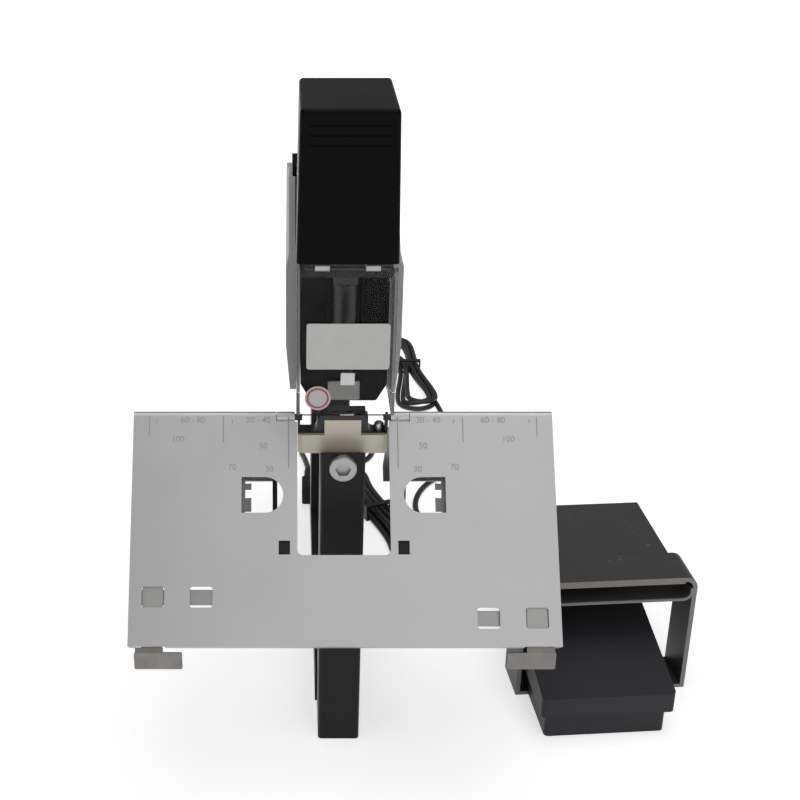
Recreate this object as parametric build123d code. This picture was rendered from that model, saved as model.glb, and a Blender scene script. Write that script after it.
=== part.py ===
from build123d import *
import math
import os

# Electric saddle and flat stapler with a foot pedal, in millimetres, +Z up.
# The origin is on the floor under the middle of the staple line. The operator stands at -Y.

# Work table
table_width = 245.0
ridge_height = 225.0
leaf_slope = 50.7
leaf_length = 133.6
rear_leaf_length = 80.0
leaf_sheet = 1.2
leaf_lip = 10.0
window_half = 26.75
window_depth = 81.9
window_corner = 3.3
knuckle_radius = 3.25
hinge_pin_radius = 2.0
shaft_clearance = 0.05
part_gap = 0.3
front_knuckle_start = 39.15
rear_wing_start = 28.2
dhole_inner = 34.9
dhole_outer = 59.0
dhole_top = 36.4
dhole_bottom = 57.4
square_inner = 31.0
square_outer = 37.5
square_top = 73.6
square_bottom = 81.6
loop_inner_inset = 47.5
loop_outer_inset = 20.1
loop_width = 12.8
loop_height = 11.8
loop_edge_left = 33.7
loop_edge_right = 21.8
loop_corner = 1.5
loop_strap = 0.8
loop_leg = 1.0
loop_drop = 1.3

# Paper stops
stop_sheet = 1.0
stop_strip_inset = 19.3
stop_strip_width = 11.6
stop_strip_length = 77.0
stop_neck_inset = 19.9
stop_neck_width = 15.7
stop_tip_inset = 30.7
stop_tip_width = 27.2
stop_tip_height = 11.0
stop_neck_length = 3.5
stop_lip_slack = 0.8

# Leaf clips at the D holes
clip_width = 8.0
clip_length = 20.0
clip_depth = 5.0
clip_sheet = 1.0
clip_strip = 2.0
clip_reach = 5.6
clip_jaw_upper = 3.6
clip_jaw_lower = 8.0
clip_jaw_start = 2.5

# Column, base beam and anvil
column_half = 13.1
column_front = -16.5
column_back = 20.0
column_sheet = 2.5
column_top_drop = 19.6
block_front_drop = 24.1
foot_pad = 3.0
skirt_gap = 0.3
beam_half = 14.5
beam_height = 26.0
beam_end = 285.0
beam_sheet = 2.5
screw_drop = 27.6
screw_head_radius = 8.0
screw_head_height = 4.0
screw_shank_radius = 4.0
screw_socket_af = 8.0
screw_socket_depth = 3.0
screw_length = 10.4
block_height = 40.0
neck_half = 9.0
neck_front = -1.0
neck_back = 9.0
anvil_half = 13.5
anvil_height = 3.5
anvil_front = -4.0
anvil_pocket_width = 4.6
anvil_pocket_depth = 0.6
anvil_pocket_half = 1.6
tee_tab_half = 10.75
tee_bar_half = 26.5
tee_sheet = 3.0
tee_bar_top = 13.2
tee_bar_bottom = 25.0
tee_return = 7.0
rail_floor = 12.5
rail_sheet = 2.5
rail_inner_wall = 6.0
rail_bend = 3.4
ear_start = 25.0
ear_end = 26.5
ear_radius = 3.25
rail_screw_radius = 2.9
rail_screw_height = 4.5
rail_screw_at = 21.6

# Leaf supports
support_sheet = 3.0
support_bar_drop = 104.0
support_bar_height = 12.0
support_arm_inner = 29.5
support_arm_outer = 42.0
support_reach_start = 70.0
support_reach_end = 88.0
rear_support_bar_drop = 128.0
rear_arm_inner = 33.0
rear_reach_start = 58.0
rear_reach_end = 76.0

# Feet and post
cross_foot_half = 75.0
cross_foot_start = 105.0
cross_foot_end = 165.0
cross_foot_height = 6.0
pad_radius = 9.0
post_start = 228.0
post_end = 282.0
post_rise = 37.0
post_wall = 2.0

# Head housing, heights above the ridge
shell_wall = 1.5
shell_front = 6.0
shell_back = 300.0
shell_half = 33.4
shell_foot_half = 31.0
shell_upper_half = 31.6
shell_bottom = 12.0
shell_taper_top = 40.0
shell_shoulder = 88.0
shell_shoulder_top = 94.5
shell_slope_start = 90.0
shell_slope_end_y = 44.0
shell_top = 129.5
shell_rear_top = 69.0
shell_split = 0.15
shell_mouth_half = 25.5
lid_half = 29.6
lid_rise = 10.0
lid_wall = 2.0
lid_start = 46.0
lid_end = 292.0
rear_panel_height = 50.0
rear_panel_half = 22.0
rear_panel_sheet = 1.5

# Front hood over the solenoid
hood_front = -35.0
hood_back = 42.5
hood_bottom = 104.0
hood_top = 187.0
hood_half_top = 26.0
hood_half_bottom = 27.7
hood_wall = 2.0
hood_radius = 2.5
hood_groove_half = 21.0
hood_groove_heights = (179.0, 173.8, 168.6)
hood_groove_depth = 0.8
hood_groove_width = 1.2

# Staple head
core_half = 25.0
core_front = -4.0
core_back = 33.0
core_top = 100.0
core_shoulder = 82.0
core_shoulder_half = 18.0
core_funnel_top = 20.0
core_seat = 36.0
core_bottom = 9.5
core_bottom_half = 19.0
core_cavity_half = 9.6
crossbar_half = 25.0
crossbar_front = -25.0
crossbar_sheet = 2.0
crossbar_bottom = 93.0
crossbar_top = 112.0
nose_half = 9.15
nose_front = -6.2
nose_sheet = 2.0
nose_bottom = 10.9
nose_top = 22.6
tab_half = 4.0
tab_centre = 2.0
tab_front = -10.0
tab_sheet = 1.2
tab_bottom = 22.0
tab_top = 29.5
magazine_half = 8.0
magazine_height = 14.0
magazine_wall = 1.2
magazine_end = 150.0
staple_half = 6.0
staple_leg = 6.0
staple_wire = 0.6
staple_row = 70.0
pusher_length = 10.0
spring_radius = 2.4

# Frame plates
plate_inner = 14.8
plate_sheet = 3.0
plate_front = 33.0
plate_back = 290.0
plate_bottom = 18.0
plate_top = 46.0
plate_tail_bottom = -30.0
frame_screw_radius = 3.5
frame_screw_height = 2.4

# Solenoid and driver
yoke_half = 22.0
yoke_front = -22.0
yoke_sheet = 4.0
yoke_top = 178.0
coil_radius = 17.0
plunger_radius = 8.0
plunger_bottom = 96.0
plunger_top = 150.0
driver_half = 6.2
driver_sheet = 0.6
driver_tip = 27.0
clevis_half = 7.0

# Finger guard
guard_half = 27.5
guard_front = -35.0
guard_back = 0.0
guard_wall = 2.0
guard_bottom = 14.5
guard_top = 99.5
guard_pivot_y = -34.0
guard_pivot_height = 101.3
guard_lug_radius = 1.5
guard_pin_radius = 0.8
guard_tab_centre_half = 9.2
guard_tab_inner = 18.2
guard_tab_outer = 23.3

# Electrics
board_sheet = 1.6
board_start = 190.0
board_end = 275.0
board_half = 22.0
board_height = 46.0
rocker_half = 6.5
rocker_height = 19.0
rocker_at = 47.5
rocker_depth = 8.0
rocker_tilt = 8.0
bezel_rim = 2.5
bezel_sheet = 1.5
block_left = -21.0
block_right = 14.0
block_bottom = 4.0
block_top = 20.0
block_end = 305.0
relief_length = 24.0
relief_radius = 4.6
relief_tip_radius = 3.6
mains_radius = 2.4
pedal_cord_radius = 2.4
mains_exit_x = -15.0
pedal_exit_x = -5.0
cord_exit_z = 12.0

# Foot pedal, in its own frame: x across, y away from the operator
pedal_x = 132.8
pedal_y = -14.4
pedal_yaw = 4.4
pedal_width = 78.4
pedal_length = 125.0
pedal_base_bottom = 2.8
pedal_base_top = 17.8
pedal_wall = 2.5
treadle_overhang = 4.1
treadle_front_top = 32.0
treadle_rise = 12.0
treadle_wall = 2.5
treadle_bottom = 18.1
treadle_radius = 3.0
pedal_pin_y = 12.0
pedal_pin_z = 21.5
pedal_pin_radius = 2.0
pedal_ear_sheet = 3.0
pedal_swing = 5.0
strap_left = -8.8
strap_right = 107.0
strap_front_share = 0.36
strap_width = 32.0
strap_height = 87.0
strap_sheet = 3.0
strap_radius = 8.0
hood_plate_left = 2.0
hood_plate_right = 98.5
hood_plate_reach = 27.0
hood_plate_sheet = 1.5
shelf_height = 70.0
shelf_sheet = 1.5
shelf_radius = 6.0
shelf_reach = 1.0
notch_half = 12.0
notch_height = 14.0
pedal_cord_x = 20.0
pedal_cord_z = 9.0
switch_size = (20.0, 28.0, 10.0)
switch_inset = 40.0
spring_share = 0.44
pedal_spring_radius = 5.0
overrun = 5.0

SLOPE_COS = math.cos(math.radians(leaf_slope))
SLOPE_SIN = math.sin(math.radians(leaf_slope))
pivot_z = ridge_height - knuckle_radius
pivot_axis = Axis((0, 0, pivot_z), (1, 0, 0))
knuckle_clear = knuckle_radius + part_gap


def block(x0, x1, y0, y1, z0, z1):
    """A box between two corners."""
    size = Box(x1 - x0, y1 - y0, z1 - z0)
    return Pos((x0 + x1) / 2, (y0 + y1) / 2, (z0 + z1) / 2) * size


def prism_x(points, x0, x1):
    """A YZ outline stretched along X."""
    outline = make_face(Plane.YZ * Polyline(*points, close=True))
    return Pos(x0, 0, 0) * extrude(outline, amount=x1 - x0, dir=(1, 0, 0))


def prism_y(points, y0, y1):
    """An XZ outline stretched along Y."""
    outline = make_face(Polyline(*[(x, y0, z) for x, z in points], close=True))
    return extrude(outline, amount=y1 - y0, dir=(0, 1, 0))


def rod_x(y, z, radius, x0, x1):
    rod = Rotation(0, 90, 0) * Cylinder(radius, x1 - x0)
    return Pos((x0 + x1) / 2, y, z) * rod


def rod_y(x, z, radius, y0, y1):
    rod = Rotation(90, 0, 0) * Cylinder(radius, y1 - y0)
    return Pos(x, (y0 + y1) / 2, z) * rod


def rod_z(x, y, radius, z0, z1):
    return Pos(x, y, (z0 + z1) / 2) * Cylinder(radius, z1 - z0)


def mirrored(shape):
    """The same shape on the other side of the machine."""
    return mirror(shape, about=Plane.YZ)


def both_sides(shape):
    return [shape, mirrored(shape)]


def save(name, shapes):
    shapes = shapes if isinstance(shapes, list) else [shapes]
    solids = [solid for shape in shapes for solid in shape.solids()]
    export_step(Compound(children=solids), os.path.join("parts", name + ".step"))


def slab(x0, x1, s0, s1, z0, z1, corner=0):
    """A piece of a leaf laid flat: s runs from the hinge to the leaf's free edge."""
    piece = block(x0, x1, -s1, -s0, z0, z1)
    return fillet(piece.edges().filter_by(Axis.Z), corner) if corner else piece


def knuckle(x0, x1):
    """A rolled stretch of a leaf's edge, round the hinge pin."""
    roll = rod_x(0, pivot_z, knuckle_radius, x0, x1)
    return roll - rod_x(0, pivot_z, hinge_pin_radius + shaft_clearance, x0 - overrun, x1 + overrun)


sheet_low = ridge_height - leaf_sheet


def loop(x0, s0):
    """The pressed strap under a loop hole, which guides a paper stop."""
    strap_top = sheet_low - loop_drop
    strap = slab(x0 - loop_leg, x0 + loop_width + loop_leg, s0 + loop_corner,
                 s0 + loop_height - loop_corner, strap_top - loop_strap, strap_top)
    left = slab(x0 - loop_leg, x0 - part_gap / 2, s0 + loop_corner, s0 + loop_height - loop_corner,
                strap_top - loop_strap, sheet_low)
    right = slab(x0 + loop_width + part_gap / 2, x0 + loop_width + loop_leg, s0 + loop_corner,
                 s0 + loop_height - loop_corner, strap_top - loop_strap, sheet_low)
    return strap + left + right


def leaf_half(loop_edge):
    """The right half of the front leaf, laid flat, with its holes and loops."""
    half = table_width / 2
    thick = leaf_sheet + 2 * overrun
    low, high = sheet_low - thick, ridge_height + thick
    plate = slab(0, half, knuckle_clear, leaf_length, sheet_low, ridge_height)
    plate += slab(front_knuckle_start, half, 0, knuckle_clear, sheet_low, ridge_height)
    plate += knuckle(front_knuckle_start, half)
    plate += slab(0, half, leaf_length - leaf_sheet, leaf_length, sheet_low - leaf_lip, sheet_low)
    neck = half - stop_neck_inset
    plate -= slab(neck - stop_lip_slack, neck + stop_neck_width + stop_lip_slack,
                  leaf_length - leaf_sheet - overrun, leaf_length + overrun,
                  sheet_low - leaf_lip - overrun, sheet_low)
    dhole_radius = (dhole_bottom - dhole_top) / 2
    plate -= slab(dhole_inner + dhole_radius, dhole_outer, dhole_top, dhole_bottom, low, high)
    plate -= rod_z(dhole_inner + dhole_radius, -(dhole_top + dhole_bottom) / 2, dhole_radius, low, high)
    plate -= slab(square_inner, square_outer, square_top, square_bottom, low, high)
    loop_top = leaf_length - loop_edge
    for start in (half - loop_inner_inset, half - loop_outer_inset):
        plate -= slab(start, start + loop_width, loop_top, loop_top + loop_height, low, high, loop_corner)
        plate += loop(start, loop_top)
    return plate


def front_leaf():
    right = leaf_half(loop_edge_right)
    left = mirrored(leaf_half(loop_edge_left))
    window = slab(-window_half, window_half, -overrun - window_corner, window_depth,
                  sheet_low - overrun, ridge_height + overrun, window_corner)
    return (right + left - window).rotate(pivot_axis, leaf_slope)


def rear_leaf():
    """The right rear wing, which hangs behind the ridge."""
    half = table_width / 2
    wing = slab(rear_wing_start, half, knuckle_clear, rear_leaf_length, sheet_low, ridge_height)
    wing += slab(rear_wing_start, front_knuckle_start - part_gap, 0, knuckle_clear,
                 sheet_low, ridge_height)
    wing += knuckle(rear_wing_start, front_knuckle_start - part_gap)
    wing += slab(rear_wing_start, half, rear_leaf_length - leaf_sheet, rear_leaf_length,
                 sheet_low - leaf_lip, sheet_low)
    wing = mirror(wing, about=Plane.XZ)
    return wing.rotate(pivot_axis, -leaf_slope)


def paper_stop():
    """The right stop: a strip in the loops, a neck past the lip and an upright tip."""
    top = sheet_low - part_gap / 2
    low = top - stop_sheet
    side = table_width / 2
    x0, x1 = side - stop_strip_inset, side - stop_strip_inset + stop_strip_width
    strip = slab(x0, x1, leaf_length - stop_strip_length, leaf_length, low, top)
    neck = slab(side - stop_neck_inset, side - stop_neck_inset + stop_neck_width, leaf_length + part_gap,
                leaf_length + stop_neck_length, low, top)
    neck += slab(x0, x1, leaf_length - part_gap, leaf_length + stop_neck_length, low, top)
    flat = (strip + neck).rotate(pivot_axis, leaf_slope)
    bend_y = -(leaf_length + stop_neck_length) * SLOPE_COS
    bend_y += (pivot_z - low) * SLOPE_SIN
    bend_z = pivot_z - (leaf_length + stop_neck_length) * SLOPE_SIN
    bend_z += (low - pivot_z) * SLOPE_COS + stop_sheet * SLOPE_COS
    tip_start = side - stop_tip_inset
    tip = block(tip_start, tip_start + stop_tip_width, bend_y - stop_sheet * SLOPE_SIN,
                bend_y - stop_sheet * SLOPE_SIN + stop_sheet, bend_z - stop_tip_height, bend_z)
    tip = fillet(tip.edges().filter_by(Axis.Y), stop_sheet)
    return flat + tip


def leaf_clip():
    """A spring clip riveted to the back of the leaf, its two jaws showing in a D hole."""
    s0 = (dhole_top + dhole_bottom - clip_length) / 2
    s1 = s0 + clip_length
    inner = dhole_outer + part_gap
    low = sheet_low - clip_depth
    foot = slab(inner, inner + clip_width, s0, s1, sheet_low - clip_sheet, sheet_low)
    wall = slab(inner, inner + clip_sheet, s0, s1, low, sheet_low)
    strip = slab(dhole_outer - clip_strip, inner + clip_sheet, s0, s1, low, low + clip_sheet)
    clip = foot + wall + strip
    upper = s0 + clip_jaw_start
    lower = s1 - clip_sheet
    for start, end in ((upper, upper + clip_jaw_upper), (lower - clip_jaw_lower, lower)):
        jaw = slab(dhole_outer - clip_reach, inner, start, end, low, low + clip_sheet)
        lip = slab(dhole_outer - clip_reach, dhole_outer - clip_reach + clip_sheet, start, end,
                   low, low + 2 * clip_sheet)
        clip += jaw + lip
    return clip.rotate(pivot_axis, leaf_slope)


def ridge_pin():
    return rod_x(0, pivot_z, hinge_pin_radius, ear_start - leaf_sheet, table_width / 2 - leaf_sheet)


def anvil_column():
    """The folded channel that carries the anvil, open to the back, its front wall the highest."""
    top = ridge_height - column_top_drop
    body = block(-column_half, column_half, column_front, column_back, skirt_gap, top)
    body = fillet(body.edges().filter_by(Axis.Z).group_by(Axis.Y)[0], column_sheet)
    body -= block(-column_half + column_sheet, column_half - column_sheet, column_front + column_sheet,
                  column_back + overrun, -overrun, top + overrun)
    body -= block(-column_half - overrun, column_half + overrun, column_front + column_sheet,
                  column_back + overrun, tee_seat(), top + overrun)
    body -= rod_y(0, ridge_height - screw_drop, screw_shank_radius + part_gap,
                  column_front - overrun, column_front + column_sheet + overrun)
    return body


def tee_seat():
    """The height that the column's sides and the block stop at, under the T's bar."""
    return ridge_height - tee_bar_bottom - part_gap


def anvil_block():
    """The steel block in the column's top; its neck carries the anvil."""
    inner = column_half - column_sheet - shaft_clearance
    top = tee_seat()
    shoulder = ridge_height - rail_floor - rail_sheet
    lump = block(-inner, inner, column_front + column_sheet, column_back, top - block_height, top)
    lump += prism_x([(column_front + column_sheet, top),
                     (column_front + column_sheet, ridge_height - column_top_drop - part_gap),
                     (neck_front - tee_sheet - part_gap, ridge_height - block_front_drop),
                     (neck_front - tee_sheet - part_gap, top)], -inner, inner)
    lump += block(-inner, inner, neck_front, neck_back, top, shoulder)
    lump += block(-neck_half, neck_half, neck_front, neck_back, shoulder, ridge_height - anvil_height)
    lump -= rod_y(0, ridge_height - screw_drop, screw_shank_radius + shaft_clearance,
                  column_front, column_front + screw_length + part_gap)
    return lump


def anvil_screw():
    z = ridge_height - screw_drop
    head = rod_y(0, z, screw_head_radius, column_front - screw_head_height, column_front)
    head = chamfer(head.edges().group_by(Axis.Y)[0], part_gap * 2)
    shank = rod_y(0, z, screw_shank_radius, column_front, column_front + screw_length)
    socket = extrude(RegularPolygon(screw_socket_af / math.sqrt(3), 6), amount=screw_socket_depth + overrun)
    socket = Pos(0, column_front - screw_head_height + screw_socket_depth, z) * Rotation(90, 0, 0) * socket
    return head + shank - socket


def anvil():
    """The clinching block with its two forming pockets, flush with the ridge."""
    top = ridge_height
    body = block(-anvil_half, anvil_half, anvil_front, neck_back, top - anvil_height, top)
    for side in (-1, 1):
        centre = side * (staple_half - anvil_pocket_width / 2)
        pocket = Pos(centre, 0, top) * Box(anvil_pocket_width, 2 * anvil_pocket_half, 2 * anvil_pocket_depth)
        body -= pocket
    return body


def anvil_bracket():
    """The T-shaped plate in front of the anvil's neck, its bar turned back at both ends."""
    tab_top = ridge_height - anvil_height
    front, back = neck_front - tee_sheet, neck_front
    bar_top, bar_low = ridge_height - tee_bar_top, ridge_height - tee_bar_bottom
    tee = block(-tee_tab_half, tee_tab_half, front, back, bar_low, tab_top)
    bar = block(-tee_bar_half, tee_bar_half, front, back, bar_low, bar_top)
    for side in (-1, 1):
        outer = side * tee_bar_half
        inner = side * (tee_bar_half - tee_sheet)
        bar += block(min(outer, inner), max(outer, inner), front, back + tee_return, bar_low,
                     ridge_height - rail_floor - rail_sheet)
    bar = fillet(bar.edges().filter_by(Axis.Z).group_by(Axis.Y)[0], tee_sheet - part_gap)
    return tee + bar


def pivot_rail():
    """The right dark rail: inner wall, floor and the ear that holds the hinge pin."""
    floor_z = ridge_height - rail_floor
    inner = block(neck_half, neck_half + rail_inner_wall, neck_front, neck_back,
                  floor_z - rail_sheet, ridge_height - anvil_height)
    floor = block(neck_half, ear_end, neck_front, neck_back, floor_z - rail_sheet, floor_z)
    corner_x = neck_half + rail_inner_wall
    bend = block(corner_x, corner_x + rail_bend, neck_front, neck_back, floor_z, floor_z + rail_bend)
    bend -= rod_y(corner_x + rail_bend, floor_z + rail_bend, rail_bend, neck_front - overrun, neck_back + overrun)
    ear = prism_x([(neck_front, floor_z - rail_sheet), (neck_back, floor_z - rail_sheet),
                   (neck_back, floor_z), (ear_radius, pivot_z), (-ear_radius, pivot_z),
                   (neck_front, floor_z)], ear_start, ear_end)
    ear += rod_x(0, pivot_z, ear_radius, ear_start, ear_end)
    rail = inner + floor + bend + ear
    return rail - rod_x(0, pivot_z, hinge_pin_radius + shaft_clearance, ear_start - overrun, ear_end + overrun)


def rail_screw():
    z = ridge_height - rail_floor
    head = rod_z(rail_screw_at, (neck_front + neck_back) / 2, rail_screw_radius, z, z + rail_screw_height)
    return fillet(head.edges().group_by(Axis.Z)[-1], rail_screw_radius / 2)


def leaf_support(bar_drop, arm_inner, reach_start, reach_end, behind):
    """A cross bar on the column with an arm each side that ends flat against a leaf's back."""
    bar_top = ridge_height - bar_drop + support_bar_height / 2
    bar_low = bar_top - support_bar_height
    if behind:
        bar_front, bar_back = column_back, column_back + support_sheet
    else:
        bar_front, bar_back = column_front - support_sheet, column_front
    bar = block(-support_arm_outer, support_arm_outer, bar_front, bar_back, bar_low, bar_top)
    drop = sheet_low - part_gap
    arm_top = slab(arm_inner, support_arm_outer, reach_start, reach_end, drop - support_sheet, drop)
    rest = arm_top.rotate(pivot_axis, leaf_slope)
    if behind:
        rest = mirror(rest, about=Plane.XZ)
    toward = -1 if behind else 1
    inset = knuckle_radius - leaf_sheet - part_gap - support_sheet / 2
    tip_s = (reach_start + reach_end) / 2
    tip_y = -tip_s * SLOPE_COS - inset * SLOPE_SIN
    tip_z = pivot_z - tip_s * SLOPE_SIN + inset * SLOPE_COS
    if behind:
        tip_y = -tip_y
    half = support_sheet
    root_y = (bar_front + bar_back) / 2
    stem = prism_x([(root_y, bar_low), (root_y, bar_top), (tip_y + toward * half, tip_z + half / 2),
                    (tip_y, tip_z - half)], support_arm_outer - support_sheet, support_arm_outer)
    arm = rest + stem
    return bar + arm + mirrored(arm)


def base_beam():
    """The inverted channel on the floor; its solid tongue stands inside the column."""
    z0, z1 = foot_pad, foot_pad + beam_height
    beam = block(-beam_half, beam_half, column_back, beam_end, z0, z1)
    beam -= block(-beam_half + beam_sheet, beam_half - beam_sheet, column_back + 2 * beam_sheet,
                  beam_end - beam_sheet, z0 - overrun, z1 - beam_sheet)
    inner = column_half - column_sheet - shaft_clearance
    beam += block(-inner, inner, column_front + column_sheet, column_back, z0, z1)
    return beam


def cross_foot():
    """The steel plate across the beam's underside that keeps the machine upright."""
    plate = block(-cross_foot_half, cross_foot_half, cross_foot_start, cross_foot_end,
                  foot_pad, foot_pad + cross_foot_height)
    plate -= block(-beam_half - part_gap / 2, beam_half + part_gap / 2, cross_foot_start - overrun,
                   cross_foot_end + overrun, foot_pad - overrun, foot_pad + cross_foot_height + overrun)
    return plate


def rubber_feet():
    inner = column_half - column_sheet
    front = block(-column_half + column_sheet, column_half - column_sheet, column_front + column_sheet,
                  column_back, 0, foot_pad)
    rear = block(-inner, inner, beam_end - 2 * pad_radius, beam_end - part_gap, 0, foot_pad)
    pads = [front, rear]
    for side in (-1, 1):
        for y in (cross_foot_start + pad_radius + part_gap, cross_foot_end - pad_radius - part_gap):
            pads.append(rod_z(side * (cross_foot_half - pad_radius), y, pad_radius, 0, foot_pad))
    return pads


def rear_post():
    """The square tube from the beam up into the housing."""
    z0, z1 = foot_pad + beam_height, ridge_height + post_rise
    tube = block(-beam_half, beam_half, post_start, post_end, z0, z1)
    return tube - block(-beam_half + post_wall, beam_half - post_wall, post_start + post_wall,
                        post_end - post_wall, z0 - overrun, z1 + overrun)


def frame_plate():
    """The right side plate of the head, bolted to the post and carrying the staple head."""
    z = ridge_height
    outline = [(plate_front, z + plate_bottom), (post_start, z + plate_bottom),
               (post_start, z + plate_tail_bottom), (plate_back - overrun, z + plate_tail_bottom),
               (plate_back - overrun, z + plate_top), (plate_front, z + plate_top)]
    return prism_x(outline, plate_inner, plate_inner + plate_sheet)


def frame_screws():
    screws = []
    x0 = plate_inner + plate_sheet
    for y in (post_start + post_wall * 5, post_end - post_wall * 5):
        for z in (ridge_height + plate_tail_bottom / 2, ridge_height + plate_bottom):
            screw = rod_x(y, z, frame_screw_radius, x0, x0 + frame_screw_height)
            screws += both_sides(screw)
    return screws


def shell_side(inset):
    """The housing's outline from the side, drawn in by a wall."""
    z = ridge_height
    return [(shell_front + inset, z + shell_bottom + inset),
            (shell_front + inset, z + shell_slope_start - inset / 2),
            (shell_slope_end_y + inset / 2, z + shell_top - inset),
            (lid_end - inset, z + shell_rear_top - inset),
            (shell_back - inset, z + shell_rear_top - lid_rise - inset),
            (shell_back - inset, z + shell_bottom + inset)]


def shell_front_outline(inset):
    """The right half of the housing's outline from the front."""
    z = ridge_height
    return [(0, z + shell_bottom - overrun), (shell_foot_half - inset, z + shell_bottom - overrun),
            (shell_foot_half - inset, z + shell_bottom), (shell_half - inset, z + shell_taper_top),
            (shell_half - inset, z + shell_shoulder), (shell_upper_half - inset, z + shell_shoulder_top),
            (shell_upper_half - inset, z + shell_top + overrun), (0, z + shell_top + overrun)]


def housing_shell():
    """The right painted shell, open at its mouth for the staple head and below for the post."""
    z = ridge_height
    outer = prism_x(shell_side(0), 0, shell_half + overrun)
    outer = outer & prism_y(shell_front_outline(0), shell_front - overrun, shell_back + overrun)
    inner = prism_x(shell_side(shell_wall), 0, shell_half + overrun)
    inner = inner & prism_y(shell_front_outline(shell_wall), shell_front - overrun, shell_back + overrun)
    shell = outer - inner
    shell -= block(-overrun, shell_split, -hood_back, shell_back + overrun, z - overrun, z + hood_top)
    shell -= block(-overrun, shell_mouth_half, shell_front - overrun, shell_slope_end_y,
                   z - overrun, z + hood_top)
    shell -= block(-overrun, hood_half_bottom + part_gap, shell_front - overrun, hood_back + overrun,
                   z + hood_bottom - overrun, z + hood_top)
    shell -= block(-overrun, plate_inner + plate_sheet + part_gap, post_start - part_gap,
                   plate_back, z + shell_bottom - overrun, z + shell_bottom + overrun)
    shell -= block(-overrun, magazine_half + part_gap, shell_front - overrun, magazine_end + part_gap,
                   z + shell_bottom - overrun, z + shell_bottom + shell_wall + part_gap)
    shell -= block(-overrun, lid_half - 2 * lid_wall, lid_start + 2 * lid_wall, lid_end - 2 * lid_wall,
                   z + shell_shoulder_top, z + hood_top)
    shell -= block(-overrun, rear_panel_half - overrun, shell_back - shell_wall - overrun,
                   shell_back + overrun, z + shell_bottom + overrun, z + rear_panel_height)
    return shell


def rear_top_cover():
    """The black lid that closes the housing's top."""
    z = ridge_height
    low = [(lid_start, z + shell_top - (lid_start - shell_slope_end_y) * shell_fall_share()),
           (lid_end, z + shell_rear_top)]
    outer = prism_x([low[0], (lid_start, z + shell_top + lid_rise - 2 * lid_wall),
                     (lid_start + lid_rise, z + shell_top + lid_rise),
                     (lid_end - lid_rise, z + shell_rear_top + lid_rise), low[1]], -lid_half, lid_half)
    inner = prism_x([(low[0][0] + lid_wall, low[0][1] - lid_wall),
                     (lid_start + lid_wall, z + shell_top + lid_rise - 3 * lid_wall),
                     (lid_start + lid_rise, z + shell_top + lid_rise - lid_wall),
                     (lid_end - lid_rise, z + shell_rear_top + lid_rise - lid_wall),
                     (lid_end - lid_wall, z + shell_rear_top - lid_wall)],
                    -lid_half + lid_wall, lid_half - lid_wall)
    return outer - inner


def shell_fall_share():
    """How fast the housing's top falls towards the back."""
    return (shell_top - shell_rear_top) / (lid_end - shell_slope_end_y)


def rear_panel():
    """The plate in the housing's back that carries the switch."""
    z = ridge_height
    panel = block(-rear_panel_half, rear_panel_half, shell_back, shell_back + rear_panel_sheet,
                  z + shell_bottom + overrun, z + rear_panel_height + overrun)
    hole = block(-rocker_half - bezel_sheet, rocker_half + bezel_sheet, shell_back - overrun,
                 shell_back + overrun, z + rocker_at - rocker_height - bezel_sheet, z + rocker_at + bezel_sheet)
    return panel - hole


def front_hood():
    """The tall black hood over the solenoid, open below, with three grooves across its face."""
    z0, z1 = ridge_height + hood_bottom, ridge_height + hood_top
    outline = [(-hood_half_bottom, z0), (hood_half_bottom, z0), (hood_half_top, z1), (-hood_half_top, z1)]
    hood = prism_y(outline, hood_front, hood_back)
    upright = hood.edges().group_by(Axis.Z)[1:]
    rim = [edge for group in upright for edge in group]
    hood = fillet(rim, hood_radius)
    inset = hood_wall
    hollow = [(-hood_half_bottom + inset, z0 - overrun), (hood_half_bottom - inset, z0 - overrun),
              (hood_half_top - inset, z1 - inset), (-hood_half_top + inset, z1 - inset)]
    hood -= prism_y(hollow, hood_front + inset, hood_back - inset)
    for height in hood_groove_heights:
        z = ridge_height + height
        hood -= block(-hood_groove_half, hood_groove_half, hood_front - overrun,
                      hood_front + hood_groove_depth, z - hood_groove_width / 2, z + hood_groove_width / 2)
    return hood


def head_core():
    """The dark casing of the staple head, a funnel down to the nose, with the driver's slot inside."""
    z = ridge_height
    outline = [(-core_bottom_half, z + core_bottom), (core_bottom_half, z + core_bottom),
               (core_half, z + core_funnel_top), (core_half, z + core_shoulder),
               (core_shoulder_half, z + core_top), (-core_shoulder_half, z + core_top),
               (-core_half, z + core_shoulder), (-core_half, z + core_funnel_top)]
    core = prism_y(outline, core_front, core_back)
    core = fillet(core.edges().filter_by(Axis.Y), core_front * -1 / 2)
    bay = core_cavity_half + part_gap
    core -= block(-bay, bay, core_front + nose_sheet, core_back + overrun, z + core_bottom - overrun,
                  z + core_top - 2 * overrun - clevis_half)
    core -= block(-bay, bay, -clevis_half - part_gap, core_back + overrun,
                  z + core_seat, z + core_top + overrun)
    return core


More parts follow.
